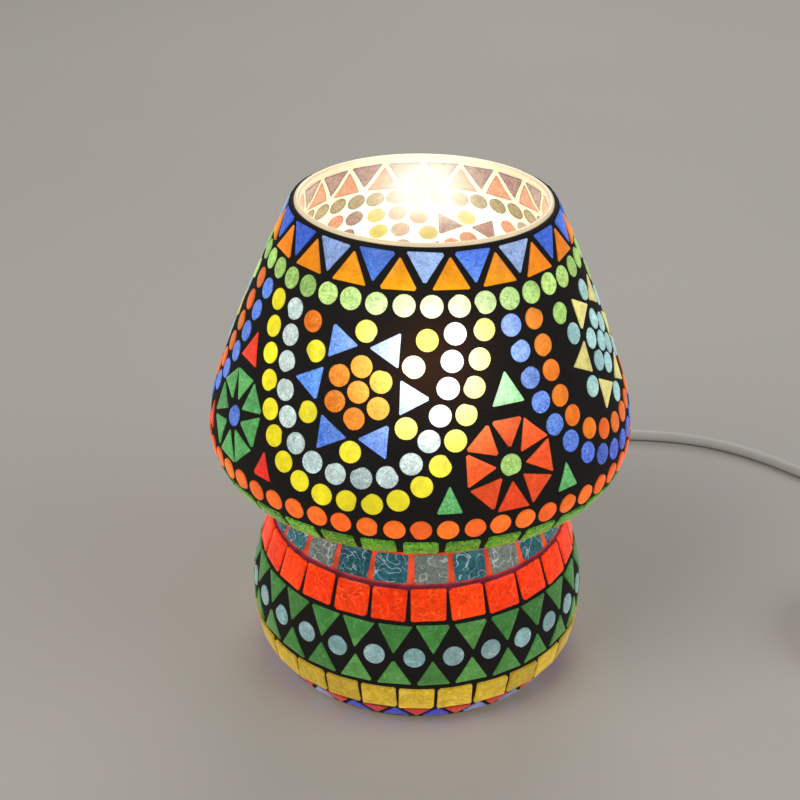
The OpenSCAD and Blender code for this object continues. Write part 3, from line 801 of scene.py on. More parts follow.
@dataclass
class InnerSide:
    """Radius against height on the inner side of the vessel, up to its lip, in metres."""

    wall: Wall
    clear_of_lip: float = 3.5
    lip_inset: tuple[float, float] = (0.95, 0.44)
    heights: list[float] = field(default_factory=list)
    radii: list[float] = field(default_factory=list)

    def __post_init__(self) -> None:
        """Sorts the points by height."""
        wall = self.wall
        top = (wall.keys[0][1] - wall.below_lip - self.clear_of_lip) * MM
        points = [p for p in wall.layer(wall.inner_depth) if p[1] < top]
        points.append(tuple((at - inset) * MM for at, inset in zip(wall.lip, self.lip_inset)))
        for radius, height in sorted(points, key=lambda p: p[1]):
            self.heights.append(height)
            self.radii.append(radius)

    def radius(self, height: float) -> float:
        """Reads the layer's radius at a height.

        Args:
            height: The height in metres.

        Returns:
            The radius in metres.
        """
        i = min(max(bisect_left(self.heights, height), 1), len(self.heights) - 1)
        low, high = self.heights[i - 1], self.heights[i]
        t = min(max((height - low) / max(high - low, 1e-9), 0), 1)
        return self.radii[i - 1] + (self.radii[i] - self.radii[i - 1]) * t


# ---------------------------------------------------------------------- tiles


class Cut(Enum):
    """The outlines that tiles are cut to."""

    DISC = "punched round"
    NIPPED = "nipped with straight sides"


@dataclass(frozen=True)
class TileSort:
    """The tiles of one CAD node: their outline, glass and the colour seen from inside."""

    node: str
    cut: Cut
    glass: StainedGlass
    slot: str
    seen_inside: RGB


@dataclass
class TileField:
    """Lays every tile of one sort again, with soft edges, a crowned face and its own tone."""

    sort: TileSort
    seed: int
    thickness: float = 2.1 * MM
    edge: float = 0.3 * MM
    edge_drop: float = 0.28 * MM
    crown_share: float = 0.6
    crown: float = 0.1 * MM
    tilt: float = 0.012
    sinking: float = 0.12 * MM
    disc_sides: int = 20
    least_disc: float = 0.97
    lobe: float = 0.022
    largest: float = 1.03
    nips: tuple[float, ...] = (0.5, 0.5, 0.55, 1.0)
    flats: tuple[float, ...] = (0, 0, 0, 0.07, 0.13)

    def outlines(self) -> list[tuple[list[Vector], Vector]]:
        """Finds each tile's outer face on the CAD node.

        Returns:
            For each tile, the corners of its outer face in order and the outward normal.
        """
        bm = merged_copy(self.sort.node)
        found, seen = [], set()
        for start in bm.verts:
            if start in seen:
                continue
            island, edge = {start}, [start]
            while edge:
                vert = edge.pop()
                for link in vert.link_edges:
                    other = link.other_vert(vert)
                    if other not in island:
                        island.add(other)
                        edge.append(other)
            seen |= island
            faces = {face for vert in island for face in vert.link_faces}
            middle = sum((v.co for v in island), Vector()) / len(island)
            radial = Vector((middle.x, middle.y, 0))
            slabs = sorted(faces, key=lambda f: -f.calc_area())[:2]
            face = max(slabs, key=lambda f: (f.calc_center_median() - middle).dot(radial))
            found.append(([v.co.copy() for v in face.verts], face.normal.copy()))
        bm.free()
        found.sort(key=lambda tile: (round(math.atan2(tile[0][0].x, -tile[0][0].y), 3), tile[0][0].z))
        return found

    def recut(self, corners: list[Vector], normal: Vector, draw: random.Random) -> list[Vector]:
        """Gives one tile the small faults of hand cutting.

        Args:
            corners: Its outline.
            normal: Its outward normal.
            draw: The random source.

        Returns:
            The new outline.
        """
        middle = sum(corners, Vector()) / len(corners)
        side = (corners[0] - middle).normalized()
        up = normal.cross(side)
        if self.sort.cut is Cut.DISC:
            radius = sum((c - middle).length for c in corners) / len(corners)
            radius *= draw.uniform(self.least_disc, 1.0)
            phase, lobe = draw.uniform(0, math.tau), draw.uniform(0, self.lobe)
            flat_at, flat = draw.uniform(0, math.tau), draw.choice(self.flats)
            outline = []
            for i in range(self.disc_sides):
                a = math.tau * i / self.disc_sides
                r = radius * (1 - lobe * (1 + math.sin(2 * a + phase)) / 2)
                facing = math.cos(a - flat_at)
                if facing > 1 - flat:
                    r *= (1 - flat) / facing
                outline.append(middle + side * (r * math.cos(a)) + up * (r * math.sin(a)))
            return outline
        outline = []
        for i, corner in enumerate(corners):
            before, after = corners[i - 1] - corner, corners[(i + 1) % len(corners)] - corner
            nip = draw.choice(self.nips) * MM
            moved = middle + (corner - middle) * draw.uniform(1.0, self.largest)
            outline += [moved + before.normalized() * nip, moved + after.normalized() * nip]
        return outline

    def lay(self, bm: bmesh.types.BMesh, layer: bmesh.types.BMLayerItem, corners: list[Vector],
            normal: Vector, draw: random.Random) -> None:
        """Lays one tile.

        Args:
            bm: The mesh that takes it.
            layer: The colour layer.
            corners: Its outline on the CAD node.
            normal: Its outward normal.
            draw: The random source.
        """
        first = len(bm.faces)
        outline = self.recut(corners, normal, draw)
        middle = sum(outline, Vector()) / len(outline)
        tilt = Vector([draw.uniform(-1, 1) for _ in range(3)]) * self.tilt
        sunk = self.thickness + draw.uniform(0, 1) * self.sinking
        base = bm.faces.new([bm.verts.new(c + normal * (tilt.dot(c - middle) - sunk)) for c in outline])
        made = bmesh.ops.extrude_face_region(bm, geom=[base], use_keep_orig=True)["geom"]
        top = next(item for item in made if isinstance(item, bmesh.types.BMFace))
        bmesh.ops.translate(bm, verts=list(top.verts), vec=normal * (self.thickness - self.edge_drop))
        top.normal_update()
        if top.normal.dot(normal) < 0:
            top.normal_flip()
        bmesh.ops.inset_individual(bm, faces=[top], thickness=self.edge, depth=self.edge_drop - self.crown,
                                   use_even_offset=True)
        shoulder = set(top.verts)
        bmesh.ops.inset_individual(bm, faces=[top], thickness=0.01 * MM, depth=self.crown)
        crown = set(top.verts)
        centre = Matrix.Translation(-top.calc_center_median())
        bmesh.ops.scale(bm, vec=(self.crown_share,) * 3, verts=list(crown), space=centre)
        bright, hue = draw.random(), draw.random()
        bm.faces.ensure_lookup_table()
        for face in bm.faces[first:]:
            for loop in face.loops:
                inward = 1.0 if loop.vert in crown else SHOULDER_SHARE if loop.vert in shoulder else 0.0
                loop[layer] = (bright, hue, inward, 1.0)

    def build(self) -> bpy.types.Object:
        """Lays the tiles.

        Returns:
            The piece, which stands for the CAD node.
        """
        draw = random.Random(self.seed)
        bm = bmesh.new()
        layer = bm.loops.layers.float_color.new("tile")
        for corners, normal in self.outlines():
            self.lay(bm, layer, corners, normal, draw)
        bmesh.ops.recalc_face_normals(bm, faces=bm.faces)
        sort = self.sort
        return new_piece(sort.node + "_laid", bm, sort.glass.material(), (sort.node,))


@dataclass
class LiningPatches:
    """The tiles' shapes as they show through the vessel's inner side."""

    wall: Wall
    gap: float = 0.14 * MM
    fall: float = 0.45
    lowest: float = 90 * MM
    cut_levels: range = range(96, 178, 3)
    fades: tuple[float, float] = (0.5 * MM, 1 * MM)
    rim_shade: float = 0.62
    seed: int = 911

    def add(self, bm: bmesh.types.BMesh, layer: bmesh.types.BMLayerItem, tiles: TileField,
            draw: random.Random) -> None:
        """Adds the patches of one sort.

        Args:
            bm: The mesh.
            layer: The colour layer.
            tiles: The field that knows its outlines.
            draw: The random source.
        """
        for corners, normal in tiles.outlines():
            outline = tiles.recut(corners, normal, draw)
            middle = sum(outline, Vector()) / len(outline)
            if middle.z < self.lowest:
                continue
            if normal.dot(Vector((middle.x, middle.y, 0))) < 0:
                outline.reverse()
            shift = Vector((normal.x, normal.y, normal.z * self.fall)) * (-self.wall.inner_depth * MM)
            first = len(bm.faces)
            face = bm.faces.new([bm.verts.new(c + shift) for c in reversed(outline)])
            rim = set(face.verts)
            for fade in self.fades:
                bmesh.ops.inset_individual(bm, faces=[face], thickness=fade)
            bm.faces.ensure_lookup_table()
            colour = Vector(tiles.sort.seen_inside) * draw.uniform(0.8, 1.12)
            for part in bm.faces[first:]:
                for loop in part.loops:
                    loop[layer] = (*(colour * (self.rim_shade if loop.vert in rim else 1.0)), 1.0)

    def build(self, fields: list[TileField]) -> bpy.types.Object:
        """Lays all the patches.

        Args:
            fields: The tile fields, from the rim down.

        Returns:
            The piece.
        """
        draw = random.Random(self.seed)
        bm = bmesh.new()
        layer = bm.loops.layers.float_color.new("tile")
        side = InnerSide(self.wall)
        for tiles in fields:
            self.add(bm, layer, tiles, draw)
        for level in self.cut_levels:
            whole = list(bm.verts) + list(bm.edges) + list(bm.faces)
            bmesh.ops.bisect_plane(bm, geom=whole, plane_co=(0, 0, level * MM), plane_no=(0, 0, 1))
        for vert in bm.verts:
            flat = Vector((vert.co.x, vert.co.y, 0)).normalized()
            vert.co = flat * (side.radius(vert.co.z) - self.gap) + Vector((0, 0, vert.co.z))
        return new_piece("tiles_seen_inside", bm, TilesThroughGlass().material())


@dataclass
class JointCement:
    """The cement bed with the joints filled nearly up to the tiles' faces.

    The heights, the rim's two sections and the depths are in millimetres.
    """

    name: str
    node: str
    low: float
    high: float
    wall: Wall
    finish: Cement
    rim: Section = ()
    rim_back: Section = ()
    face_depth: float = 0.42
    back_depth: float = 2.8
    steps: int = 168
    lumps_per_metre: float = 260
    grit_per_metre: float = 700
    rim_lumps_per_metre: float = 310
    unevenness: float = 0.13 * MM
    rim_unevenness: float = 0.22 * MM
    rim_reach: float = 1.2 * MM
    back_clearance: float = 4 * MM

    def build(self) -> bpy.types.Object:
        """Spins the section and roughens its face.

        Returns:
            The piece, which stands for the cement node.
        """
        low, high = self.low * MM - 1e-6, self.high * MM + 1e-6
        keep = [i for i, (_, height) in enumerate(self.wall.layer(0)) if low <= height <= high]
        rim = [(radius * MM, height * MM) for radius, height in self.rim]
        face = rim + [self.wall.layer(self.face_depth)[i] for i in keep]
        back = [(radius * MM, height * MM) for radius, height in self.rim_back]
        top = back[-1][1] if back else math.inf
        inner = self.wall.layer(self.back_depth)
        back += [inner[i] for i in keep if inner[i][1] < top - self.back_clearance]
        bm = spun(face + back[::-1], self.steps)
        outer = {round(radius, 7) for radius, _ in face}
        edge = rim[-1][1] - self.rim_reach if rim else math.inf
        for vert in bm.verts:
            radius = math.hypot(vert.co.x, vert.co.y)
            if round(radius, 7) not in outer:
                continue
            outward = Vector((vert.co.x, vert.co.y, 0)) / radius
            if vert.co.z > edge:
                rough = noise.noise(vert.co * self.rim_lumps_per_metre) * self.rim_unevenness
                vert.co += outward * rough + Vector((0, 0, rough * 0.6))
            else:
                lump = noise.noise(vert.co * self.lumps_per_metre)
                lump += 0.6 * noise.noise(vert.co * self.grit_per_metre)
                vert.co += outward * (lump * self.unevenness)
        return new_piece(self.name, bm, self.finish.material(), (self.node,))


# ---------------------------------------------------------------- the mosaic

# The deep, lit and pale colours of glass that several sorts share, in display steps
ORANGE = ((214, 70, 16), (240, 132, 24), (255, 232, 130))
YELLOW = ((226, 206, 14), (252, 240, 40), (255, 250, 190))
BLUE = ((34, 58, 176), (96, 144, 232), (226, 240, 255))
GREEN = ((40, 118, 50), (96, 182, 96), (226, 255, 214))
RED = ((206, 34, 14), (240, 84, 26), (255, 200, 120))

# The colours that the tiles show through the vessel
INSIDE_BLUE = shade_of(158, 112, 118)
INSIDE_ORANGE = shade_of(236, 150, 108)
INSIDE_LIME = shade_of(160, 146, 92)
INSIDE_YELLOW = shade_of(232, 226, 92)
INSIDE_WHITE = shade_of(206, 182, 160)
INSIDE_RED = shade_of(206, 108, 86)
INSIDE_GREEN = shade_of(132, 158, 108)


def sort_of(node: str, cut: Cut, glass: str, slot: str, seen_inside: RGB, colours: tuple[Steps, ...],
            grain: float, odd: Steps | None = None, ripple: Ripple = Ripple.GRAINED) -> TileSort:
    """Describes the tiles of one CAD node.

    Args:
        node: The node.
        cut: The tiles' outline.
        glass: The glass's name, without its last word.
        slot: The record's slot, without its last word.
        seen_inside: Their colour through the vessel.
        colours: The glass's deep, lit and, where it differs, pale colour in display steps.
        grain: How strongly the grain shows.
        odd: The colour of the odd tiles, in display steps.
        ripple: How the glass was rolled.

    Returns:
        The sort.
    """
    made = StainedGlass(f"{glass}_glass", *(shade_of(*colour) for colour in colours), grain=grain,
                        odd=shade_of(*odd) if odd else None, ripple=ripple)
    return TileSort(node, cut, made, f"{slot}_glass", seen_inside)


SORTS = (
    sort_of("rim_blue_triangles", Cut.NIPPED, "rim_blue", "blue", INSIDE_BLUE,
            ((32, 62, 188), (84, 138, 232), (150, 195, 240)), 0.34, odd=(140, 162, 206)),
    sort_of("rim_orange_triangles", Cut.NIPPED, "rim_orange", "orange", INSIDE_ORANGE,
            ((226, 84, 14), (252, 164, 8), (255, 200, 30)), 0.12),
    sort_of("lime_discs", Cut.DISC, "lime_disc", "lime", INSIDE_LIME,
            ((92, 160, 58), (186, 222, 118), (255, 255, 226)), 0.34),
    sort_of("yellow_garland_discs", Cut.DISC, "yellow_disc", "yellow", INSIDE_YELLOW, YELLOW, 0.08),
    sort_of("white_garland_discs", Cut.DISC, "white_disc", "white", INSIDE_WHITE,
            ((140, 168, 170), (212, 228, 220), (255, 255, 250)), 0.34),
    sort_of("blue_discs", Cut.DISC, "blue_disc", "blue", INSIDE_BLUE, BLUE, 0.36),
    sort_of("orange_garland_discs", Cut.DISC, "orange_disc", "orange", INSIDE_ORANGE, ORANGE, 0.08),
    sort_of("orange_star_discs", Cut.DISC, "star_disc", "orange", INSIDE_ORANGE,
            ((224, 66, 8), (244, 128, 16), (255, 232, 110)), 0.26),
    sort_of("blue_star_triangles", Cut.NIPPED, "star_blue", "blue", INSIDE_BLUE,
            ((36, 70, 196), (78, 140, 232), (228, 240, 255)), 0.36),
    sort_of("yellow_star_discs", Cut.DISC, "star_yellow", "yellow", INSIDE_YELLOW, YELLOW, 0.1),
    sort_of("teal_star_discs", Cut.DISC, "teal_disc", "teal", INSIDE_WHITE,
            ((112, 160, 166), (176, 220, 216)), 0.3),
    sort_of("cream_star_triangles", Cut.NIPPED, "cream", "cream", INSIDE_YELLOW,
            ((206, 190, 96), (236, 228, 148)), 0.16),
    sort_of("red_flower_petals", Cut.NIPPED, "red_petal", "red", INSIDE_RED, RED, 0.14),
    sort_of("green_flower_petals", Cut.NIPPED, "green_petal", "green", INSIDE_GREEN, GREEN, 0.26),
    sort_of("green_gap_triangles", Cut.NIPPED, "gap_green", "green", INSIDE_GREEN,
            ((56, 150, 70), (140, 222, 140), (235, 255, 225)), 0.34),
    sort_of("red_gap_triangles", Cut.NIPPED, "gap_red", "red", INSIDE_RED,
            ((218, 30, 16), (240, 60, 26)), 0.06),
    sort_of("girdle_orange_discs", Cut.DISC, "girdle", "orange", INSIDE_ORANGE,
            ((246, 92, 14), (252, 130, 20)), 0.07),
    sort_of("underside_green_blocks", Cut.NIPPED, "underside", "moss", INSIDE_GREEN,
            ((48, 112, 16), (88, 160, 28), (206, 238, 110)), 0.6),
    sort_of("neck_teal_blocks", Cut.NIPPED, "neck_teal", "deep_teal", INSIDE_GREEN,
            ((34, 84, 94), (64, 116, 122)), 0.5, ripple=Ripple.WAVY),
    sort_of("neck_clear_blocks", Cut.NIPPED, "neck_clear", "grey", INSIDE_WHITE,
            ((98, 106, 100), (132, 138, 126)), 0.38, ripple=Ripple.WAVY),
    sort_of("shoulder_orange_squares", Cut.NIPPED, "shoulder", "vermilion", INSIDE_ORANGE,
            ((244, 52, 0), (255, 80, 10), (255, 150, 60)), 0.3, ripple=Ripple.WAVY),
    sort_of("belly_green_triangles", Cut.NIPPED, "belly_green", "moss", INSIDE_GREEN,
            ((58, 116, 52), (106, 154, 78), (190, 216, 150)), 0.16, ripple=Ripple.WAVY),
    sort_of("belly_pale_discs", Cut.DISC, "belly_pale", "white", INSIDE_WHITE,
            ((116, 150, 150), (170, 186, 182)), 0.22, ripple=Ripple.WAVY),
    sort_of("skirt_amber_blocks", Cut.NIPPED, "skirt_amber", "amber", INSIDE_YELLOW,
            ((180, 146, 8), (206, 170, 20)), 0.2),
    sort_of("foot_red_triangles", Cut.NIPPED, "foot_red", "red", INSIDE_RED,
            ((168, 24, 14), (210, 50, 20)), 0.12),
    sort_of("foot_blue_triangles", Cut.NIPPED, "foot_blue", "blue", INSIDE_BLUE,
            ((40, 44, 150), (80, 90, 190)), 0.16, odd=(112, 118, 160)),
)


@dataclass
class Mosaic:
    """The tiles, the cement round them and the vessel that carries them, with heights in millimetres."""

    wall: Wall = Wall()
    first_seed: int = 100
    waist: float = 70.5
    foot: float = 1.5
    top: float = 179
    lip_face: Section = ((44.25, 179.9), (44.8, 179.95), (45.3, 179.75), (45.55, 179.35))
    lip_back: Section = ((44.1, 179.4), (43.8, 178.6))
    shade_finish: Cement = Cement("shade_cement")
    # painted glow on the neck's cement: orange-red in the joints by the neck tiles, mauve below them
    base_finish: Cement = Cement("base_cement", 57.2 * MM, 71.2 * MM, shade_of(240, 78, 44),
                                 shade_of(128, 30, 56))

    def build(self) -> None:
        """Builds the whole mosaic from the rim down."""
        fields = [TileField(sort, self.first_seed + i) for i, sort in enumerate(SORTS)]
        for tiles in fields:
            tiles.build()
        JointCement("shade_cement", "grout_shade", self.waist, self.top, self.wall, self.shade_finish,
                    rim=self.lip_face, rim_back=self.lip_back).build()
        JointCement("base_cement", "grout_base", self.foot, self.waist, self.wall, self.base_finish).build()
        LiningPatches(self.wall).build(fields)
        dress("glass_body", LitVessel().material())


# ------------------------------------------------------------ cord and fittings

PALE_PVC = (0.78, 0.77, 0.73)
WHITE = (0.8, 0.8, 0.78)


@dataclass
class SupplyCord:
    """The round cord from the strain relief, through the switch and a stored coil, to the plug.

    The coil's turns (radius, height) and the ways' points are in millimetres.
    """

    diameter: float = 5 * MM
    length: float = 1.8
    finish: Moulded = Moulded("cord_sheath", PALE_PVC, 0.38, 0.25)
    exit: Point = (0, 0.0865, 0.0148)
    coil_centre: Vector = field(default_factory=lambda: Vector((187.5, -8, 0)) * MM)
    coil_turns: Section = (
        (32.5, 2.5), (27.5, 2.5), (22.5, 2.5), (22.5, 7.5), (27.5, 7.5), (32.5, 7.5), (27.5, 12.5),
        (32.5, 12.5),
    )
    points_per_turn: int = 20
    step_over: float = 0.72
    way_to_coil: tuple[Point, ...] = (
        (0, 86.5, 14.8), (0, 93, 14.6), (1, 102, 13), (4, 112, 10), (10, 122, 6.4), (19, 131, 3.7),
        (30, 139, 2.5), (43, 145.5, 2.5), (57, 150, 2.5), (72, 153, 2.5), (87, 154.5, 2.5),
        (102, 155, 2.5), (117, 154, 2.5), (131, 151.5, 2.5), (144, 147, 2.5), (156, 140.5, 2.5),
        (167, 132.5, 2.5), (177, 123.5, 2.5), (187, 114.5, 2.5), (197, 106, 2.5), (206.5, 97, 2.9),
        (214, 88, 4), (218.6, 79.5, 5.8), (220, 74.5, 6.8), (220, 69, 7), (220, 63, 6.4), (220, 56, 5),
        (220, 44, 4.5), (220, 32, 5), (220, 25, 6.4), (220, 19, 7), (220, 12, 6.6), (220, 4, 4.4),
        (220, -3, 2.9),
    )
    way_to_plug: tuple[Point, ...] = (
        (220, -8, 12.5), (220, -16, 12), (220, -24, 9.8), (220, -31, 7.6), (220, -37, 6.85), (220, -41, 6.85),
    )

    def coil(self) -> list[Vector]:
        """Lays the coil's turns, which lie beside and on each other.

        Returns:
            The points of the turns in metres.
        """
        points = []
        for turn, (radius, height) in enumerate(self.coil_turns):
            after = self.coil_turns[min(turn + 1, len(self.coil_turns) - 1)]
            for i in range(self.points_per_turn):
                share = i / self.points_per_turn
                t = max((share - self.step_over) / (1 - self.step_over), 0)
                t = t * t * (3 - 2 * t)
                r = (radius + (after[0] - radius) * t) * MM
                z = (height + (after[1] - height) * t) * MM
                a = -math.tau * share
                points.append(self.coil_centre + Vector((r * math.cos(a), r * math.sin(a), z)))
        return points

    def build(self, fittings: list[bpy.types.Object]) -> bpy.types.Object:
        """Args:
            fittings: The pieces that sit on it; not used.

        Returns:
            The cord.
        """
        start, end = ([Vector(point) * MM for point in way] for way in (self.way_to_coil, self.way_to_plug))
        route = start + self.coil() + end
        data = bpy.data.curves.new("supply_cord", "CURVE")
        data.dimensions = "3D"
        data.bevel_depth = self.diameter / 2
        data.bevel_resolution = 3
        data.resolution_u = 3
        data.use_fill_caps = True
        spline = data.splines.new("BEZIER")
        spline.bezier_points.add(len(route) - 1)
        for point, place in zip(spline.bezier_points, route):
            point.co = place
            point.handle_left_type = point.handle_right_type = "AUTO"
        data.materials.append(self.finish.material())
        cord = linked("supply_cord", data)
        settle(cord, ("cord_run", "cord_link", "cord_coil", "cord_end"))
        return cord


@dataclass
class CoilTie:
    """The flat band looped round the coil's bundle of turns."""

    coil_centre: Vector
    bundle_radius: float = 27.5 * MM
    turn: float = 75
    width: float = 16.8 * MM
    height: float = 16 * MM
    corner: float = 3.2 * MM
    band: float = 4.5 * MM
    thickness: float = 0.7 * MM
    finish: Moulded = Moulded("tie_band", (0.05, 0.05, 0.055), 0.4)

    def build(self) -> bpy.types.Object:
        """Cuts the loop from a rounded plate, thickens it and stands it across the turns.

        Returns:
            The tie.
        """
        bm = bmesh.new()
        bmesh.ops.create_grid(bm, x_segments=1, y_segments=1, size=0.5)
        bmesh.ops.scale(bm, vec=(self.width, self.height, 1), verts=bm.verts)
        bmesh.ops.bevel(bm, geom=list(bm.verts), offset=self.corner, offset_type="OFFSET", segments=5,
                        profile=0.5, affect="VERTICES", material=-1)
        middle = list(bm.faces)
        bmesh.ops.inset_region(bm, faces=middle, thickness=self.thickness, use_boundary=True,
                               use_even_offset=True)
        bmesh.ops.delete(bm, geom=middle, context="FACES")
        made = bmesh.ops.extrude_face_region(bm, geom=list(bm.faces), use_keep_orig=True)["geom"]
        far_side = [item for item in made if isinstance(item, bmesh.types.BMVert)]
        bmesh.ops.translate(bm, vec=(0, 0, self.band), verts=far_side)
        bmesh.ops.translate(bm, vec=(0, 0, -self.band / 2), verts=bm.verts)
        bmesh.ops.recalc_face_normals(bm, faces=bm.faces)
        place = (
            Matrix.Translation(self.coil_centre + Vector((0, 0, self.height / 2)))
            @ Matrix.Rotation(math.radians(self.turn), 4, "Z")
            @ Matrix.Translation((self.bundle_radius, 0, 0))
            @ Matrix.Rotation(math.radians(90), 4, "X")
        )
        bmesh.ops.transform(bm, verts=bm.verts, matrix=place)
        return new_piece("coil_tie", bm, self.finish.material())


@dataclass
class StrainRelief:
    """The ribbed, tapered sleeve at the cord's way out; its sections are in millimetres."""

    axis_height: float = 14.8 * MM
    face: float = 61.5 * MM
    end: float = 86.5 * MM
    bore: float = 2.55 * MM
    collar: Section = (
        (2.55, -9), (4.1, -9), (4.1, 0), (5.4, 0), (6, 0.5), (6, 1.5), (5.4, 2), (4.7, 2.3),
    )
    ribs: int = 7
    first_rib: float = 3.2 * MM
    plain: float = 4.4 * MM
    wide: float = 4.6 * MM
    narrow: float = 3.05 * MM
    rib_section: Section = ((0, 0), (0.5, 0.016), (0.56, 0.6), (0.92, 0.64))
    tip: Section = ((3, 1.2), (2.85, 0.2))
    finish: Moulded = Moulded("relief_pvc", PALE_PVC, 0.45, 0.3)

    def build(self) -> bpy.types.Object:
        """Spins the sleeve along the cord.

        Returns:
            The piece, which stands for the gland node.
        """
        section = [(radius * MM, at * MM) for radius, at in self.collar]
        long = self.end - self.face
        pitch = (long - self.plain) / self.ribs
        for i in range(self.ribs):
            at = self.first_rib + i * pitch
            radius = self.wide + (self.narrow - self.wide) * (at / long)
            section += [(radius - drop * MM, at + share * pitch) for share, drop in self.rib_section]
        section += [(radius * MM, long - back * MM) for radius, back in self.tip] + [(self.bore, long)]
        bm = spun(section, 40)
        bmesh.ops.transform(bm, verts=bm.verts, matrix=Matrix.Translation((0, self.face, self.axis_height))
                            @ Matrix.Rotation(math.radians(-90), 4, "X"))
        bmesh.ops.recalc_face_normals(bm, faces=bm.faces)
        return new_piece("strain_relief", bm, self.finish.material(), ("cord_grommet",),
                         smooth=False)


@dataclass
class CordFittings:
    """The in-line switch and the plug."""

    shell: Moulded = Moulded("switch_shell", WHITE, 0.32)
    button: Moulded = Moulded("switch_button", (0.74, 0.74, 0.72), 0.25)
    plug: Moulded = Moulded("plug_shell", WHITE, 0.36)
    pins: Metal = Metal("pin_brass", (0.8, 0.66, 0.36), (0.5, 0.36, 0.16))
    screws: Metal = Metal("screw_zinc", (0.7, 0.7, 0.71), (0.42, 0.42, 0.42))
    slot: str = "white_plastic"
    shell_edge: float = 0.5 * MM
    button_edge: float = 0.35 * MM
    plug_edge: float = 0.9 * MM

    def build(self) -> list[bpy.types.Object]:
        """Dresses and rounds them.

        Returns:
            What sits on the cord.
        """
        shell, edge = self.shell.material(), self.shell_edge
        fittings = [
            softened("switch_base", "switch_lower_half", shell, edge),
            softened("switch_cover", "switch_upper_half", shell, edge),
            softened("switch_rocker", "switch_rocker_cap", self.button.material(),
                     self.button_edge, "rocker"),
            softened("plug_body", "plug_moulding", self.plug.material(), self.plug_edge,
                     segments=3),
        ]
        dress("plug_pins", self.pins.material())
        dress("switch_screws", self.screws.material())
        return fittings + [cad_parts["plug_pins"]]


# --------------------------------------------------------- bulb, holder and foot


@dataclass
class DressedParts:
    """Parts that keep their CAD shapes, under the finishes they share."""

    finishes: tuple[tuple[Finish, tuple[str, ...]], ...]

    def build(self) -> None:
        """Dresses the parts."""
        for finish, nodes in self.finishes:
            material = finish.material()
            for node in nodes:
                dress(node, material)


@dataclass
class BulbAndHolder(DressedParts):
    """The screw-cap bulb and the lampholder on its stem."""

    finishes: tuple[tuple[Finish, tuple[str, ...]], ...] = (
        (BulbGlow(), ("bulb_glass", "bulb_stem", "bulb_filaments")),
        (Metal("cap_nickel", (0.74, 0.72, 0.68), (0.5, 0.46, 0.4), 0.24),
         ("bulb_cap", "holder_terminal_screws")),
        (Moulded("tip_insulator", (0.02, 0.018, 0.02), 0.15), ("bulb_tip",)),
        (Moulded("holder_thermoset", (0.76, 0.73, 0.66), 0.3), ("holder_cap", "holder_skirt", "holder_core")),
        (Metal("holder_brass", (0.8, 0.6, 0.28), (0.46, 0.3, 0.12)),
         ("holder_screw_shell", "holder_contact", "stem_tube")),
        (Moulded("lead_cover", (0.42, 0.16, 0.06), 0.4), ("inner_leads",)),
        (Moulded("inner_sheath", PALE_PVC, 0.38, 0.25), ("cord_inside",)),
    )


@dataclass
class FootHardware(DressedParts):
    """The felt, the plate and the bar that clamp the stem to the vessel."""

    finishes: tuple[tuple[Finish, tuple[str, ...]], ...] = (
        (PressedFelt(), ("felt_foot",)),
        (Metal("plate_zinc", (0.6, 0.61, 0.63), (0.36, 0.36, 0.36), 0.34),
         ("base_plate", "cross_bar", "stem_nuts", "stem_washer")),
    )


# -------------------------------------------------------------------- studio


@dataclass(frozen=True)
class SoftBox:
    """A square soft light that faces the lamp."""

    name: str
    place: Point
    size: float
    watts: float
    tint: RGB
    aim: Point = (0, 0, 0.09)

    def hang(self) -> None:
        """Hangs the light."""
        data = bpy.data.lights.new(self.name, "AREA")
        data.shape = "SQUARE"
        data.size = self.size
        data.energy = self.watts
        data.color = self.tint
        box = linked(self.name, data)
        box.location = self.place
        box.rotation_mode = "QUATERNION"
        box.rotation_quaternion = (Vector(self.aim) - Vector(self.place)).to_track_quat("-Z", "Y")


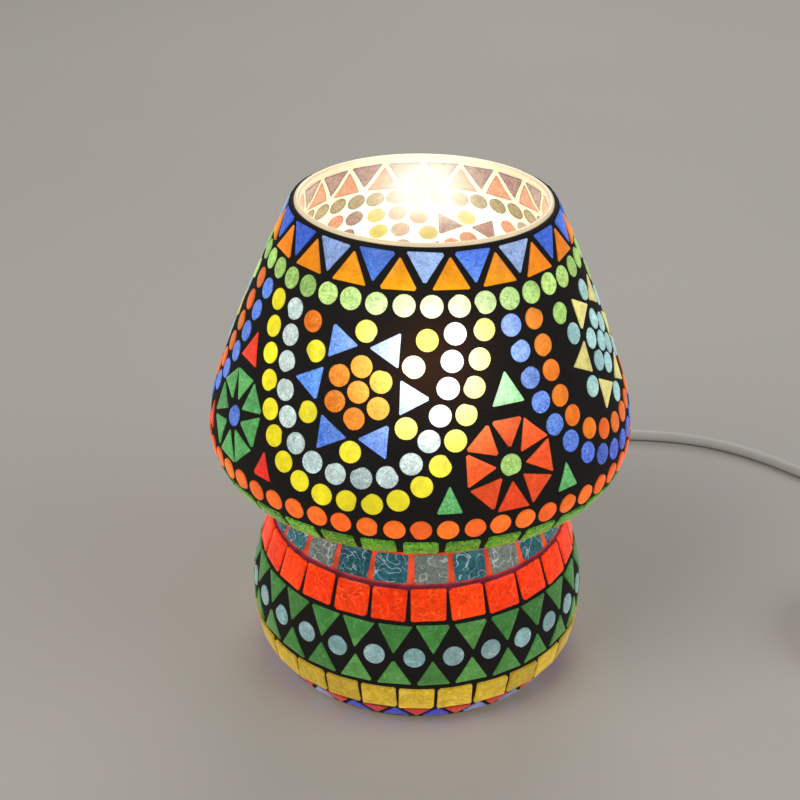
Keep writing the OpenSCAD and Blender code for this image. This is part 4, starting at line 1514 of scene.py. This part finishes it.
@dataclass
class Studio:
    """Camera, pale floor and soft light."""

    camera_place: Point = (-0.0073, -0.4802, 0.3574)
    pitch: float = 62.02
    roll: float = 0.688
    lens: float = 67.5
    floor_size: float = 8.0
    floor_drop: float = 0.2 * MM
    floor_low: RGB = (0.63, 0.6, 0.56)
    floor_high: RGB = (0.68, 0.65, 0.61)
    air: RGB = (0.62, 0.61, 0.6)
    air_strength: float = 0.35
    boxes: tuple[SoftBox, ...] = (
        SoftBox("key", (-0.9, -0.8, 1.3), 1.0, 9, (1.0, 0.97, 0.93)),
        SoftBox("fill", (1.1, -0.5, 0.9), 1.0, 4, (0.95, 0.97, 1.0)),
        SoftBox("back", (0.2, 1.3, 1.1), 1.0, 5, (1.0, 0.98, 0.95)),
    )

    def camera(self) -> None:
        """Sets the camera."""
        data = bpy.data.cameras.new("camera")
        data.lens = self.lens
        data.clip_start = 0.01
        camera = linked("camera", data)
        camera.matrix_world = (
            Matrix.Translation(self.camera_place)
            @ Matrix.Rotation(math.radians(self.pitch), 4, "X")
            @ Matrix.Rotation(math.radians(self.roll), 4, "Z")
        )
        bpy.context.scene.camera = camera

    def floor(self) -> None:
        """Lays the plain pale floor."""
        bm = bmesh.new()
        bmesh.ops.create_grid(bm, x_segments=8, y_segments=8, size=self.floor_size / 2)
        bmesh.ops.translate(bm, verts=bm.verts, vec=(0, 0, -self.floor_drop))
        mesh = bpy.data.meshes.new("floor")
        bm.to_mesh(mesh)
        bm.free()
        g = Graph("floor_paper")
        colour = g.mix(g.noise(3, 2), self.floor_low, self.floor_high)
        mesh.materials.append(g.finish(Base_Color=colour, Roughness=0.6, Specular_IOR_Level=0.25))
        linked("floor", mesh)

    def build(self) -> None:
        """Lights the room evenly."""
        self.floor()
        for box in self.boxes:
            box.hang()
        world = bpy.data.worlds.new("room")
        bpy.context.scene.world = world
        world.use_nodes = True
        air = world.node_tree.nodes["Background"].inputs
        air["Color"].default_value = (*self.air, 1)
        air["Strength"].default_value = self.air_strength
        bpy.context.scene.view_settings.view_transform = "Standard"


def main() -> None:
    """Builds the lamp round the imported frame, cord and camera first."""
    logging.basicConfig(level=logging.INFO, format="%(name)s: %(message)s")
    studio = Studio()
    studio.camera()
    cord = SupplyCord()
    relief = StrainRelief().build()
    fittings = CordFittings().build()
    cord.build([relief, CoilTie(cord.coil_centre).build(), *fittings])
    Mosaic().build()
    BulbAndHolder().build()
    FootHardware().build()
    studio.build()


if __name__ == "__main__":
    main()
